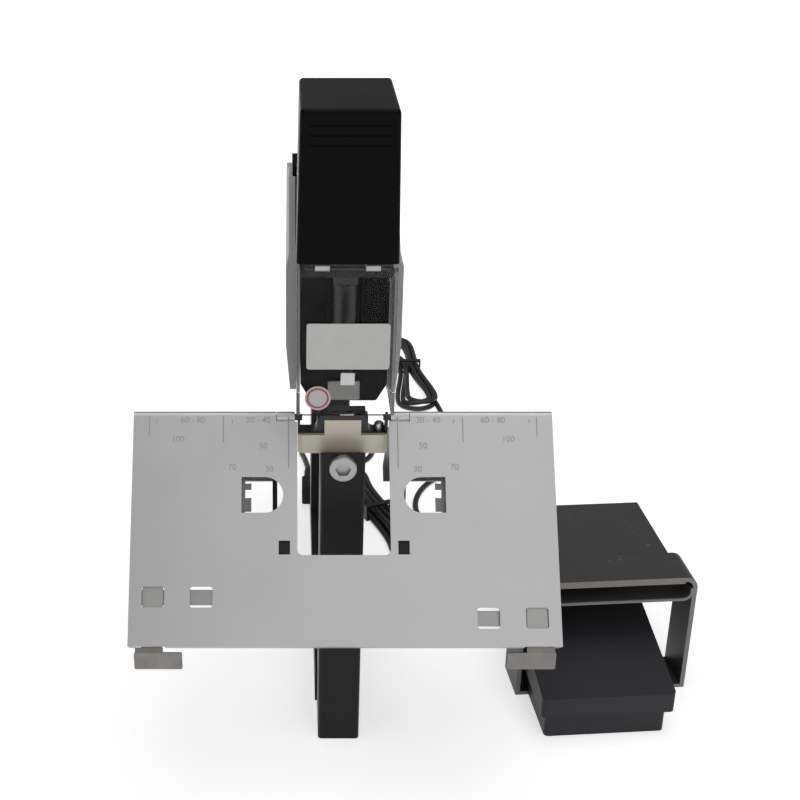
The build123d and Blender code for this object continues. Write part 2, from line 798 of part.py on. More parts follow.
def crossbar():
    """The light bar between hood and guard; it closes the head's front and holds the guard's pin."""
    z = ridge_height
    bar = block(-crossbar_half, crossbar_half, crossbar_front, crossbar_front + crossbar_sheet,
                z + crossbar_bottom, z + crossbar_top)
    shelf = block(-crossbar_half, crossbar_half, crossbar_front, shell_slope_end_y - overrun,
                  z + core_top + part_gap, z + core_top + part_gap + crossbar_sheet)
    shelf -= block(-core_cavity_half, core_cavity_half, -clevis_half - crossbar_sheet,
                   clevis_half + crossbar_sheet, z, z + hood_top)
    bar += shelf
    for x0, x1 in ear_places():
        ear = block(x0, x1, guard_pivot_y, crossbar_front, z + guard_pivot_height - guard_pin_radius,
                    z + guard_pivot_height + guard_lug_radius)
        bar += ear + rod_x(guard_pivot_y, z + guard_pivot_height, guard_lug_radius, x0, x1)
    bar -= rod_x(guard_pivot_y, z + guard_pivot_height, guard_pin_radius + shaft_clearance,
                 -crossbar_half - overrun, crossbar_half + overrun)
    return bar


def ear_places():
    """Stretches of the crossbar's ears, between the guard's own lugs."""
    inner = (guard_tab_centre_half + 2 * part_gap, guard_tab_inner - 2 * part_gap)
    return [(-inner[1], -inner[0]), inner]


def guard_pin():
    return rod_x(guard_pivot_y, ridge_height + guard_pivot_height, guard_pin_radius,
                 -guard_tab_outer, guard_tab_outer)


def finger_guard():
    """The clear guard: front, two sides and three lugs on the pin."""
    z = ridge_height
    body = block(-guard_half, guard_half, guard_front, guard_back, z + guard_bottom, z + guard_top)
    body = fillet(body.edges().filter_by(Axis.Z).group_by(Axis.Y)[0], guard_wall)
    inner = guard_half - guard_wall
    body -= block(-inner, inner, guard_front + guard_wall, guard_back + overrun,
                  z + guard_bottom - overrun, z + guard_top + overrun)
    corner = [(guard_back + overrun, z + guard_top - 2 * overrun), (guard_back + overrun, z + hood_top),
              (guard_front + guard_wall + overrun, z + hood_top),
              (guard_front + guard_wall + overrun, z + guard_top)]
    body -= prism_x(corner, -guard_half - overrun, guard_half + overrun)
    lugs = [(-guard_tab_centre_half, guard_tab_centre_half), (guard_tab_inner, guard_tab_outer),
            (-guard_tab_outer, -guard_tab_inner)]
    for x0, x1 in lugs:
        lug = block(x0, x1, guard_front, guard_front + guard_wall, z + guard_top - overrun,
                    z + guard_pivot_height)
        body += lug + rod_x(guard_pivot_y, z + guard_pivot_height, guard_lug_radius, x0, x1)
    return body - rod_x(guard_pivot_y, z + guard_pivot_height, guard_pin_radius + shaft_clearance,
                        -guard_half, guard_half)


def nose_plate():
    z = ridge_height
    plate = block(-nose_half, nose_half, nose_front, nose_front + nose_sheet, z + nose_bottom, z + nose_top)
    return fillet(plate.edges().filter_by(Axis.Y), nose_sheet / 2)


def jam_latch():
    """The pressed tab above the nose plate, on its own small pin."""
    z = ridge_height
    x0, x1 = tab_centre - tab_half, tab_centre + tab_half
    tab = block(x0, x1, tab_front, tab_front + tab_sheet, z + tab_bottom, z + tab_top)
    arm_top = z + tab_top
    tab += block(x0 + tab_sheet, x1 - tab_sheet, tab_front, core_front - part_gap,
                 arm_top - 2 * tab_sheet, arm_top)
    return tab


def magazine():
    """The channel behind the nose that holds the row of staples, open on top."""
    z0 = ridge_height + core_bottom
    front = core_front + nose_sheet + part_gap
    outer = block(-magazine_half, magazine_half, front, magazine_end, z0, z0 + magazine_height)
    inner = magazine_half - magazine_wall
    outer -= block(-inner, inner, front + magazine_wall, magazine_end - magazine_wall,
                   z0 + magazine_wall, z0 + magazine_height + overrun)
    slot = staple_half + part_gap
    outer -= block(-slot, slot, front + magazine_wall, front + magazine_wall + 3 * driver_sheet,
                   z0 - overrun, z0 + magazine_wall + overrun)
    return outer


def staple_core():
    """Heights of the staple row: bottom of the legs and top of the crowns."""
    low = ridge_height + core_bottom + magazine_wall
    return low, low + staple_leg


def staples():
    """The glued row of staples as one bar of inverted U section."""
    low, high = staple_core()
    start = core_front + nose_sheet + part_gap + magazine_wall + 3 * driver_sheet + part_gap
    row = block(-staple_half, staple_half, start, start + staple_row, low, high)
    inner = staple_half - staple_wire
    return row - block(-inner, inner, start - overrun, start + staple_row + overrun,
                       low - overrun, high - staple_wire)


def pusher_start():
    return core_front + nose_sheet + 2 * part_gap + magazine_wall + 3 * driver_sheet + staple_row


def staple_pusher():
    low, high = staple_core()
    y0 = pusher_start() + part_gap / 2
    body = block(-staple_half, staple_half, y0, y0 + pusher_length, low + part_gap / 2, high + staple_wire)
    return body - rod_y(0, (low + high) / 2, spring_radius + shaft_clearance, y0 - overrun,
                        y0 + pusher_length + overrun)


def pusher_spring():
    low, high = staple_core()
    y0 = pusher_start() + part_gap / 2 + pusher_length / 2
    spring = rod_y(0, (low + high) / 2, spring_radius, y0, magazine_end - magazine_wall)
    return spring - rod_y(0, (low + high) / 2, spring_radius - staple_wire, y0 - overrun, magazine_end)


def solenoid_yoke():
    """The steel frame of the solenoid, on the crossbar's shelf."""
    z0, z1 = ridge_height + core_top + part_gap + crossbar_sheet, ridge_height + yoke_top
    frame = block(-yoke_half, yoke_half, yoke_front, -yoke_front, z0, z1)
    frame -= block(-yoke_half + yoke_sheet, yoke_half - yoke_sheet, yoke_front - overrun,
                   -yoke_front + overrun, z0 + yoke_sheet, z1 - yoke_sheet)
    return frame - rod_z(0, 0, plunger_radius + part_gap, z0 - overrun, z0 + 2 * yoke_sheet)


def solenoid_coil():
    z0 = ridge_height + core_top + part_gap + crossbar_sheet + yoke_sheet
    z1 = ridge_height + yoke_top - yoke_sheet
    coil = rod_z(0, 0, coil_radius, z0, z1)
    bore = rod_z(0, 0, plunger_radius + part_gap, z0 - overrun, z1 - 2 * yoke_sheet)
    return coil - bore


def plunger():
    """The solenoid's core, with the fork that holds the driver blade."""
    z0 = ridge_height + plunger_bottom
    bar = rod_z(0, 0, plunger_radius, z0, ridge_height + plunger_top)
    fork = block(-clevis_half, clevis_half, -clevis_half, clevis_half, z0 - 2 * clevis_half, z0)
    slot = block(-driver_half - part_gap, driver_half + part_gap, driver_line() - part_gap / 2,
                 driver_line() + driver_sheet + part_gap / 2, z0 - 2 * clevis_half - overrun, z0)
    return bar + fork - slot


def driver_line():
    """Where the driver blade's front face lies."""
    return core_front + nose_sheet + part_gap + magazine_wall + part_gap


def driver_blade():
    y0 = driver_line()
    return block(-driver_half, driver_half, y0, y0 + driver_sheet, ridge_height + driver_tip,
                 ridge_height + plunger_bottom)


def return_spring():
    """The spring that lifts the driver, round the blade between casing and fork."""
    z0 = ridge_height + core_seat + overrun
    z1 = ridge_height + plunger_bottom - 2 * clevis_half - part_gap
    y = driver_line() + driver_sheet / 2
    ring = rod_z(0, y, driver_half + 2 * driver_sheet + part_gap, z0, z1)
    return ring - rod_z(0, y, driver_half + part_gap, z0 - overrun, z1 + overrun)


def spring_seat():
    """The crossed plate in the casing that the return spring stands on."""
    z1 = ridge_height + core_seat + overrun
    y = driver_line() + driver_sheet / 2
    seat = block(-core_cavity_half, core_cavity_half, -clevis_half, core_back, z1 - core_bottom / 2, z1)
    return seat - block(-driver_half - part_gap, driver_half + part_gap, y - driver_sheet, y + driver_sheet,
                        z1 - core_bottom, z1 + overrun)


def circuit_board():
    z = ridge_height + board_height
    board = block(-board_half, board_half, board_start, board_end, z, z + board_sheet)
    for y in (board_start + board_half / 2, board_start + 1.5 * board_half, board_end - board_half / 2):
        board += rod_z(board_half / 3, y, board_half / 4, z + board_sheet, z + board_sheet + board_half / 2)
    return board


def power_rocker():
    z = ridge_height + rocker_at - rocker_height / 2
    y0 = shell_back + rear_panel_sheet - rocker_depth / 2
    body = block(-rocker_half, rocker_half, y0, y0 + rocker_depth, z - rocker_height / 2 + bezel_sheet,
                 z + rocker_height / 2 - bezel_sheet)
    y = y0 + rocker_depth / 2
    body &= rod_x(y, z, rocker_height / 2 - bezel_sheet, -rocker_half, rocker_half)
    return body.rotate(Axis((0, y, z), (1, 0, 0)), -rocker_tilt)


def rocker_bezel():
    z = ridge_height + rocker_at - rocker_height / 2
    y0 = shell_back + rear_panel_sheet
    outer_x, outer_z = rocker_half + bezel_sheet + bezel_rim, rocker_height / 2 + bezel_sheet + bezel_rim
    rim = block(-outer_x, outer_x, y0, y0 + bezel_sheet, z - outer_z, z + outer_z)
    sleeve_x, sleeve_z = rocker_half + bezel_sheet - part_gap / 2, rocker_height / 2 + bezel_sheet - part_gap / 2
    rim += block(-sleeve_x, sleeve_x, y0 - rocker_depth - bezel_sheet, y0, z - sleeve_z, z + sleeve_z)
    inner_z = rocker_height / 2
    return rim - block(-rocker_half - part_gap, rocker_half + part_gap, y0 - rocker_depth,
                       y0 + overrun, z - inner_z, z + inner_z)


def cable_block():
    """The terminal block on the beam's end, where both cords enter."""
    lump = block(block_left, block_right, beam_end, block_end, block_bottom, block_top)
    lump -= block(-beam_half - part_gap, block_right + overrun, beam_end - overrun, beam_end,
                  block_bottom - overrun, block_top + overrun)
    return fillet(lump.edges().filter_by(Axis.Y), part_gap * 5)


def strain_relief(x):
    cone = Cone(relief_radius, relief_tip_radius, relief_length)
    return Pos(x, block_end + relief_length / 2, cord_exit_z) * Rotation(-90, 0, 0) * cone


# Cords, laid out by hand on the floor behind the machine
mains_route = [
    (-15, 329, 12), (-17, 356, 8.5), (-22, 383, 3.2), (-16, 409, 2.6), (4, 428, 2.6), (30, 434, 2.6),
    (56, 430, 2.6), (82, 422, 2.6), (105, 429, 2.6), (113, 448, 2.6), (113.2, 470, 2.6)]
plug_route = [(55.2, 620, 7.5), (36, 622, 3.4), (18, 612, 2.6), (9, 594, 4), (8, 574, 8)]
pedal_route = [
    (-5, 329, 12), (-7, 355, 8.5), (-10, 382, 3.2), (-2, 403, 2.6), (16, 414, 2.6), (36, 409, 2.6),
    (45, 391, 2.6), (40, 371, 2.6), (27, 358, 2.6), (16.6, 347.8, 2.6)]
treadle_route = [
    (77.3, 197.6, 7.5), (83, 177, 3.2), (94, 162, 2.6), (112, 159.5, 2.6), (126, 171, 2.6),
    (127.5, 190, 2.6), (117, 207, 2.6), (100, 220, 2.6), (86, 236, 2.6), (77, 257, 2.6),
    (72, 284, 2.6), (80, 314, 2.6),
    (98, 338, 2.6), (124, 344, 2.6), (142, 326, 2.6), (147, 298, 2.6), (144, 268, 2.6), (139, 238, 2.6)]
treadle_approach = [(-3.7, 77.3, -6.4), (-2.7, 51.3, -5.6), (-2.1, 26.3, -1.4), (0, 0, 0)]
mains_hank_outline = [
    (70, 470), (116, 470), (99.5, 556), (99.5, 578), (97.5, 640), (55, 640), (55, 615), (78.5, 578),
    (78.5, 556)]
hank_top = 12.0
pedal_hank_outline = [
    (-8, -80), (8, -80), (17.8, -66), (17.8, -54), (10.4, -38), (10.4, 38), (17.8, 54), (17.8, 66),
    (8, 80), (-8, 80), (-17.8, 66), (-17.8, 54), (-10.4, 38), (-10.4, -38), (-17.8, -54), (-17.8, -66)]
pedal_hank_centre = (42.0, 270.0)
pedal_hank_yaw = 22.0
hank_rise = 0.2
tie_band = 1.5
tie_width = 5.0
mains_tie_y = 564.0
plug_length = 38.0
plug_width = 22.0
plug_height = 15.6
plug_pin_radius = 2.0
plug_pin_length = 18.0
plug_pin_spread = 15.5


def corner_radii(points):
    """The radius at each corner: a share of the shorter run over the tangent of half the turn."""
    radii = []
    reach_share = 0.45
    for a, b, c in zip(points, points[1:], points[2:]):
        first, second = Vector(*b) - Vector(*a), Vector(*c) - Vector(*b)
        turn = math.radians(first.get_angle(second))
        radii.append(reach_share * min(first.length, second.length) / math.tan(turn / 2))
    return radii


def cord(name, points, radius):
    """A tube along straight runs joined by tangent arcs."""
    radii = corner_radii(points)
    path = FilletPolyline(*points, radius=radii)
    start = Plane(origin=path @ 0, z_dir=path % 0)
    tube = sweep(start * Circle(radius), path=path)
    expected = math.pi * radius ** 2 * path.length
    print(name, "length", round(path.length), "radii", [round(r) for r in radii],
          "volume share", round(tube.volume / expected, 4))
    return tube


def hank(outline):
    """The outer shape of a tied lead, wider at its folds."""
    base = make_face(Polyline(*[(x, y, hank_rise) for x, y in outline], close=True))
    body = extrude(base, amount=hank_top - hank_rise, dir=(0, 0, 1))
    return fillet(body.edges().group_by(Axis.Z)[-1], hank_top / 6)


def mains_hank():
    return hank(mains_hank_outline)


def on_pedal_hank(shape):
    return Pos(*pedal_hank_centre, 0) * Rotation(0, 0, pedal_hank_yaw) * shape


def pedal_hank():
    return on_pedal_hank(hank(pedal_hank_outline))


def tie(x0, x1, y):
    return block(x0 - tie_band, x1 + tie_band, y, y + tie_width, 0, hank_top + tie_band)


def cord_ties():
    """Wire ties, as bands over the two hanks."""
    mains_tie = tie(mains_hank_outline[-1][0], mains_hank_outline[2][0], mains_tie_y)
    waist = pedal_hank_outline[4][0]
    pedal_tie = on_pedal_hank(tie(-waist, waist, -tie_width / 2))
    return [mains_tie - mains_hank(), pedal_tie - pedal_hank()]


def mains_plug():
    """A two-pin plug at the lead's end, lying on the floor."""
    x, y, z = plug_route[-1]
    body = block(x - plug_width / 2, x + plug_width / 2, y - plug_length, y, z - plug_height / 2,
                 z + plug_height / 2)
    body = fillet(body.edges().filter_by(Axis.Y), plug_height / 4)
    for side in (-1, 1):
        pin_x = x + side * plug_pin_spread / 2
        body += rod_y(pin_x, z, plug_pin_radius, y - plug_length - plug_pin_length, y - plug_length)
    return body


# Foot pedal


def on_pedal(shape):
    """From the pedal's own frame to its place beside the machine."""
    return Pos(pedal_x, pedal_y, 0) * Rotation(0, 0, pedal_yaw) * shape


def treadle_top(y):
    """Height of the treadle's upper face."""
    return treadle_front_top + (y + treadle_overhang) * math.tan(math.radians(treadle_rise))


def pedal_base():
    """The hollow base, open on top, with two ears for the treadle's pin."""
    tray = block(0, pedal_width, 0, pedal_length, pedal_base_bottom, pedal_base_top)
    tray = fillet(tray.edges().filter_by(Axis.Z), treadle_radius)
    tray -= block(pedal_wall, pedal_width - pedal_wall, pedal_wall, pedal_length - pedal_wall,
                  pedal_base_bottom + pedal_wall, pedal_base_top + overrun)
    tray += pedal_skirt()
    for x0 in (pedal_wall + part_gap, pedal_width - pedal_wall - pedal_ear_sheet - part_gap):
        ear = block(x0, x0 + pedal_ear_sheet, pedal_pin_y - 2 * pedal_pin_radius,
                    pedal_pin_y + 2 * pedal_pin_radius, pedal_base_bottom, pedal_pin_z)
        tray += ear + rod_x(pedal_pin_y, pedal_pin_z, 2 * pedal_pin_radius, x0, x0 + pedal_ear_sheet)
    tray -= rod_x(pedal_pin_y, pedal_pin_z, pedal_pin_radius + shaft_clearance, -overrun,
                  pedal_width + overrun)
    tray -= rod_y(pedal_cord_x, pedal_cord_z, relief_radius + part_gap, pedal_length - 2 * pedal_wall,
                  pedal_length + overrun)
    return on_pedal(tray)


def pedal_skirt():
    """The rim under the base, open where the steel band passes."""
    rim = block(0, pedal_width, 0, pedal_length, skirt_gap, pedal_base_bottom)
    rim = fillet(rim.edges().filter_by(Axis.Z), treadle_radius)
    rim -= block(pedal_wall, pedal_width - pedal_wall, pedal_wall, pedal_length - pedal_wall,
                 -overrun, pedal_base_bottom + overrun)
    return rim - block(-overrun, pedal_width + overrun, strap_line() - part_gap,
                       strap_line() + strap_width + part_gap, -overrun, pedal_base_bottom + overrun)


def pedal_treadle():
    """The treadle: a hollow wedge over the base, with its skirt all round."""
    y0, y1 = -treadle_overhang, pedal_length + treadle_overhang
    x0, x1 = -treadle_overhang, pedal_width + treadle_overhang
    outline = [(y0, treadle_bottom), (y1, treadle_bottom + treadle_step()), (y1, treadle_top(y1)),
               (y0, treadle_top(y0))]
    body = prism_x(outline, x0, x1)
    body = fillet(body.edges().filter_by(Axis.Z), treadle_radius)
    wall = treadle_wall
    hollow = prism_x([(y0 + wall, treadle_bottom - overrun), (y1 - wall, treadle_bottom - overrun),
                      (y1 - wall, treadle_top(y1 - wall) - wall), (y0 + wall, treadle_top(y0 + wall) - wall)],
                     x0 + wall, x1 - wall)
    body -= hollow
    for side in (-1, 1):
        inner = pedal_ear_sheet + pedal_wall + 3 * part_gap
        x = inner if side < 0 else pedal_width - inner - pedal_ear_sheet
        lug = block(x, x + pedal_ear_sheet, pedal_pin_y - 2 * pedal_pin_radius,
                    pedal_pin_y + 2 * pedal_pin_radius, pedal_pin_z, treadle_top(0))
        body += lug + rod_x(pedal_pin_y, pedal_pin_z, 2 * pedal_pin_radius, x, x + pedal_ear_sheet)
    body -= rod_x(pedal_pin_y, pedal_pin_z, pedal_pin_radius + shaft_clearance, 0, pedal_width)
    return on_pedal(body)


def treadle_cord_line():
    """The route of the pedal lead from its hank to the tip of the pedal's sleeve."""
    tip_y = pedal_length - 2 * pedal_wall + relief_length
    tip = on_pedal(Pos(pedal_cord_x, tip_y, pedal_cord_z)).position
    return treadle_route + [(tip.X + x, tip.Y + y, tip.Z + z) for x, y, z in treadle_approach]


def treadle_step():
    """How much higher the skirt ends at the far side, to leave room for the swing."""
    return pedal_length * math.tan(math.radians(pedal_swing)) + part_gap * 2


def pedal_pin():
    return on_pedal(rod_x(pedal_pin_y, pedal_pin_z, pedal_pin_radius, pedal_wall + part_gap,
                          pedal_width - pedal_wall - part_gap))


def pedal_feet():
    feet = []
    for x in (pad_radius, pedal_width - pad_radius):
        for y in (pad_radius * 2, pedal_length - pad_radius * 2):
            feet.append(on_pedal(rod_z(x, y, pad_radius / 2, 0, pedal_base_bottom)))
    return feet


def pedal_switch():
    x = pedal_width / 2
    switch_y = pedal_length - switch_inset
    z0 = pedal_base_bottom + pedal_wall
    body = block(x - switch_size[0] / 2, x + switch_size[0] / 2, switch_y, switch_y + switch_size[1],
                 z0, z0 + switch_size[2])
    button = rod_z(x, switch_y + switch_size[1] / 2, switch_size[0] / 8, z0 + switch_size[2],
                   z0 + switch_size[2] * 1.5)
    return on_pedal(body + button)


def pedal_spring():
    spring_y = pedal_length * spring_share
    z0 = pedal_base_bottom + pedal_wall
    z1 = treadle_top(spring_y - pedal_spring_radius) - 2 * treadle_wall
    x = pedal_width / 2
    coil = rod_z(x, spring_y, pedal_spring_radius, z0, z1)
    return on_pedal(coil - rod_z(x, spring_y, pedal_spring_radius - treadle_wall / 2, z0 - overrun, z1 + overrun))


def strap_line():
    """Where the steel band over the pedal starts."""
    return pedal_length * strap_front_share


def guard_strap():
    """The bent steel band over the pedal, closed under its base."""
    body = block(strap_left, strap_right, strap_line(), strap_line() + strap_width, 0, strap_height)
    body = fillet(body.edges().filter_by(Axis.Y).group_by(Axis.Z)[-1], strap_radius)
    hollow = block(strap_left + strap_sheet, strap_right - strap_sheet, strap_line() - overrun,
                   strap_line() + strap_width + overrun, pedal_base_bottom - part_gap, strap_height - strap_sheet)
    hollow = fillet(hollow.edges().filter_by(Axis.Y).group_by(Axis.Z)[-1], strap_radius - strap_sheet)
    return on_pedal(body - hollow)


def hood_back_line():
    """How far back the plate over the pedal reaches."""
    return pedal_length + hood_plate_reach


def guard_hood():
    """The top plate behind the strap and the wall that goes down behind the pedal."""
    top = strap_height - strap_sheet
    plate = block(hood_plate_left, hood_plate_right, strap_line(), hood_back_line(),
                  top - hood_plate_sheet, top)
    wall = block(hood_plate_left, hood_plate_right, hood_back_line() - hood_plate_sheet, hood_back_line(),
                 0, top)
    wall -= block(pedal_cord_x - notch_half, pedal_cord_x + notch_half, hood_back_line() - overrun,
                  hood_back_line() + overrun, -overrun, notch_height)
    return on_pedal(plate + wall)


def guard_shelf():
    """The lower sheet under the strap, both ends curled up to meet it."""
    top = strap_height - strap_radius
    x0, x1 = strap_left + strap_sheet, strap_right - strap_sheet
    y0, y1 = strap_line() - shelf_reach, strap_line() + strap_width
    tray = block(x0, x1, y0, y1, shelf_height, top)
    tray = fillet(tray.edges().filter_by(Axis.Y).group_by(Axis.Z)[0], shelf_radius)
    hollow = block(x0 + shelf_sheet, x1 - shelf_sheet, y0 - overrun, y1 + overrun,
                   shelf_height + shelf_sheet, top + overrun)
    hollow = fillet(hollow.edges().filter_by(Axis.Y).group_by(Axis.Z)[0], shelf_radius - shelf_sheet)
    return on_pedal(tray - hollow)


def pedal_relief():
    cone = Cone(relief_radius, relief_tip_radius, relief_length)
    sleeve = Pos(pedal_cord_x, pedal_length - 2 * pedal_wall + relief_length / 2, pedal_cord_z)
    return on_pedal(sleeve * Rotation(-90, 0, 0) * cone)


def main():
    os.makedirs("parts", exist_ok=True)
    save("front_leaf", front_leaf())
    wing = rear_leaf()
    save("rear_leaf_right", wing)
    save("rear_leaf_left", mirrored(wing))
    stop = paper_stop()
    save("paper_stop_right", stop)
    save("paper_stop_left", mirrored(stop))
    save("leaf_clips", both_sides(leaf_clip()))
    save("hinge_pins", both_sides(ridge_pin()) + [guard_pin(), pedal_pin()])
    save("anvil_column", anvil_column())
    save("anvil_block", anvil_block())
    save("anvil_screw", anvil_screw())
    save("anvil", anvil())
    save("anvil_bracket", anvil_bracket())
    save("pivot_rails", both_sides(pivot_rail()))
    save("leaf_support_front", leaf_support(support_bar_drop, support_arm_inner, support_reach_start,
                                            support_reach_end, False))
    save("leaf_support_rear", leaf_support(rear_support_bar_drop, rear_arm_inner, rear_reach_start,
                                           rear_reach_end, True))
    save("base_beam", base_beam())
    save("cross_foot", cross_foot())
    save("rubber_feet", rubber_feet() + pedal_feet())
    save("rear_post", rear_post())
    save("frame_plates", both_sides(frame_plate()))
    save("small_screws", frame_screws() + [rail_screw()])
    shell = housing_shell()
    save("housing_right", shell)
    save("housing_left", mirrored(shell))
    save("rear_top_cover", rear_top_cover())
    save("rear_panel", rear_panel())
    save("front_cover", front_hood())
    save("head_core", head_core())
    save("front_crossbar", crossbar())
    save("finger_guard", finger_guard())
    save("nose_plate", nose_plate())
    save("jam_latch", jam_latch())
    save("magazine", magazine())
    save("staples", staples())
    save("staple_pusher", staple_pusher())
    save("pusher_spring", pusher_spring())
    save("solenoid_yoke", solenoid_yoke())
    save("solenoid_coil", solenoid_coil())
    save("plunger", plunger())
    save("driver_blade", driver_blade())
    save("return_spring", return_spring())
    save("spring_seat", spring_seat())
    save("circuit_board", circuit_board())
    save("power_rocker", power_rocker())
    save("rocker_bezel", rocker_bezel())
    save("cable_block", cable_block())
    save("strain_reliefs", [strain_relief(mains_exit_x), strain_relief(pedal_exit_x), pedal_relief()])
    save("pedal_base", pedal_base())
    save("pedal_treadle", pedal_treadle())
    save("pedal_switch", pedal_switch())
    save("pedal_spring", pedal_spring())
    save("guard_strap", guard_strap())
    save("guard_hood", guard_hood())
    save("guard_shelf", guard_shelf())
    save("mains_lead", [cord("mains", mains_route, mains_radius), cord("plug end", plug_route, mains_radius)])
    save("mains_lead_hank", mains_hank())
    save("pedal_lead", [cord("pedal", pedal_route, pedal_cord_radius),
                        cord("treadle end", treadle_cord_line(), pedal_cord_radius)])
    save("pedal_lead_hank", pedal_hank())
    save("cord_ties", cord_ties())
    save("mains_plug", mains_plug())


main()
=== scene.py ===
import bpy
import math
from bpy.props import FloatProperty, FloatVectorProperty, PointerProperty
from mathutils import Matrix, Vector


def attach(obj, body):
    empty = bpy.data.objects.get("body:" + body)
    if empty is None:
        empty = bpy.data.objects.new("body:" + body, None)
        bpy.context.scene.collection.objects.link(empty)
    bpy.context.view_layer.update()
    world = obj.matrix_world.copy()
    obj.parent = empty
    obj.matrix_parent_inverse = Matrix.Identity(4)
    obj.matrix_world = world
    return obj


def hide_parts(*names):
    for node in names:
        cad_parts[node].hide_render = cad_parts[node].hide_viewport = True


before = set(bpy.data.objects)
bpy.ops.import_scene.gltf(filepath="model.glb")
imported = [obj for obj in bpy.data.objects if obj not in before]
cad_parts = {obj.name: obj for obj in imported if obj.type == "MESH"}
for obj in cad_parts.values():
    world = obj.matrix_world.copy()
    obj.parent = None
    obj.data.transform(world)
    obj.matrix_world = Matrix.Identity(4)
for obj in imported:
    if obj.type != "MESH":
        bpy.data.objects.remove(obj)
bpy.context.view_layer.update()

bl_info = {
    "name": "Electric saddle stapler",
    "version": (1, 0, 0),
    "blender": (4, 5, 0),
    "location": "3D View > Sidebar > Stapler",
    "description": "Dresses the electric stapler: finishes, prints on the table, label, leads and studio",
    "category": "Object",
}

# Places on the frame, in metres
ridge = 0.225
slope = math.radians(50.7)
hinge = Vector((0, 0, 0.22175))
knuckle = 0.00325  # from the hinge's axis to the top of a leaf
leaf_shade_depth = 0.0013  # metal further down than this lies under the leaf and is painted darker as painted shade
leaf_foot = 0.121  # the tips of the stops hang below this height
ear_front = -0.0262  # the crossbar's hinge ears stand in front of this
guard_face = -0.035
pedal_yaw = math.radians(4.4)
pedal_centre = (0.1328, -0.0144)
edge_highlight_band = (0.0435, 0.0452)  # painted highlight band along the pedal guard's front edge, measured back from the pedal's centre

# Prints on the front leaf: x to either side, s down the slope from the ridge
guide_lines = ((0.1132, 0.0119), (0.0699, 0.0155), (0.0318, 0.0307))  # x and length
line_start = 0.0006
guide_ticks = (0.1089, 0.0647)
tick_middle = 0.0034
tick_length = 0.0022
guide_words = (("20 - 40", 0.0425, 0.0042), ("60 - 80", 0.0805, 0.0042), ("100", 0.0925, 0.0156),
               ("50", 0.0440, 0.0196), ("30", 0.0405, 0.0334), ("70", 0.0620, 0.0322))
ink_thickness = 0.00004
figure_to_text = 1.2  # text size over the height of its figures

# Label and sticker on the guard: x, and height above the ridge
label_place = (0.0009, 0.0563)
label_thickness = 0.00015
label_corner = 0.0016
sticker_place = (-0.0156, 0.0252)
sticker_thickness = 0.00012
ring_outer_share = 0.43
ring_inner_share = 0.35


class StaplerSizes(bpy.types.PropertyGroup):
    label_width: FloatProperty(name="Label width", description="Width of the pale label on the guard",
                               default=0.0458, unit="LENGTH")
    label_height: FloatProperty(name="Label height", description="Height of the pale label on the guard",
                                default=0.0271, unit="LENGTH")
    sticker_size: FloatProperty(name="Sticker size", description="Diameter of the round sticker",
                                default=0.0145, unit="LENGTH")
    line_width: FloatProperty(name="Guide line width", description="Width of the printed guide lines",
                              default=0.0006, unit="LENGTH")
    figure_height: FloatProperty(name="Figure height", description="Height of the printed numbers",
                                 default=0.0042, unit="LENGTH")
    lead_diameter: FloatProperty(name="Lead diameter", description="Outside diameter of both leads",
                                 default=0.0048, unit="LENGTH")


class StaplerColours(bpy.types.PropertyGroup):
    zinc: FloatVectorProperty(name="Zinc plate", description="Bright zinc on the work table",
                              default=(0.50, 0.50, 0.50), size=3, subtype="COLOR", min=0, max=1)
    paint: FloatVectorProperty(name="Head paint", description="Light grey paint of the head",
                               default=(0.42, 0.42, 0.425), size=3, subtype="COLOR", min=0, max=1)
    hood: FloatVectorProperty(name="Hood plastic", description="Black moulded hood",
                              default=(0.002, 0.002, 0.0025), size=3, subtype="COLOR", min=0, max=1)
    frame_black: FloatVectorProperty(name="Frame black", description="Satin black of column and base",
                                     default=(0.020, 0.020, 0.022), size=3, subtype="COLOR", min=0, max=1)
    pedal: FloatVectorProperty(name="Pedal plastic", description="Dark grey moulded pedal",
                               default=(0.030, 0.029, 0.034), size=3, subtype="COLOR", min=0, max=1)
    pedal_guard: FloatVectorProperty(name="Pedal guard paint", description="Dark paint on the bent guard",
                                     default=(0.055, 0.052, 0.052), size=3, subtype="COLOR", min=0, max=1)
    label: FloatVectorProperty(name="Label", description="Pale blank label on the guard",
                               default=(0.62, 0.62, 0.60), size=3, subtype="COLOR", min=0, max=1)


def sizes():
    return bpy.context.scene.stapler_sizes


def colours():
    return bpy.context.scene.stapler_colours


# Shader arithmetic


class Value:
    """A number in a shader that takes part in ordinary arithmetic."""

    def __init__(self, surface, socket):
        self.surface = surface
        self.socket = socket

    def _join(self, operation, first, second):
        return self.surface.value("ShaderNodeMath", {"operation": operation}, {0: first, 1: second})

    def __add__(self, other):
        return self._join("ADD", self, other)

    def __radd__(self, other):
        return self._join("ADD", other, self)

    def __sub__(self, other):
        return self._join("SUBTRACT", self, other)

    def __rsub__(self, other):
        return self._join("SUBTRACT", other, self)

    def __mul__(self, other):
        return self._join("MULTIPLY", self, other)

    def __rmul__(self, other):
        return self._join("MULTIPLY", other, self)

    def __gt__(self, other):
        return self._join("GREATER_THAN", self, other)

    def __lt__(self, other):
        return self._join("LESS_THAN", self, other)


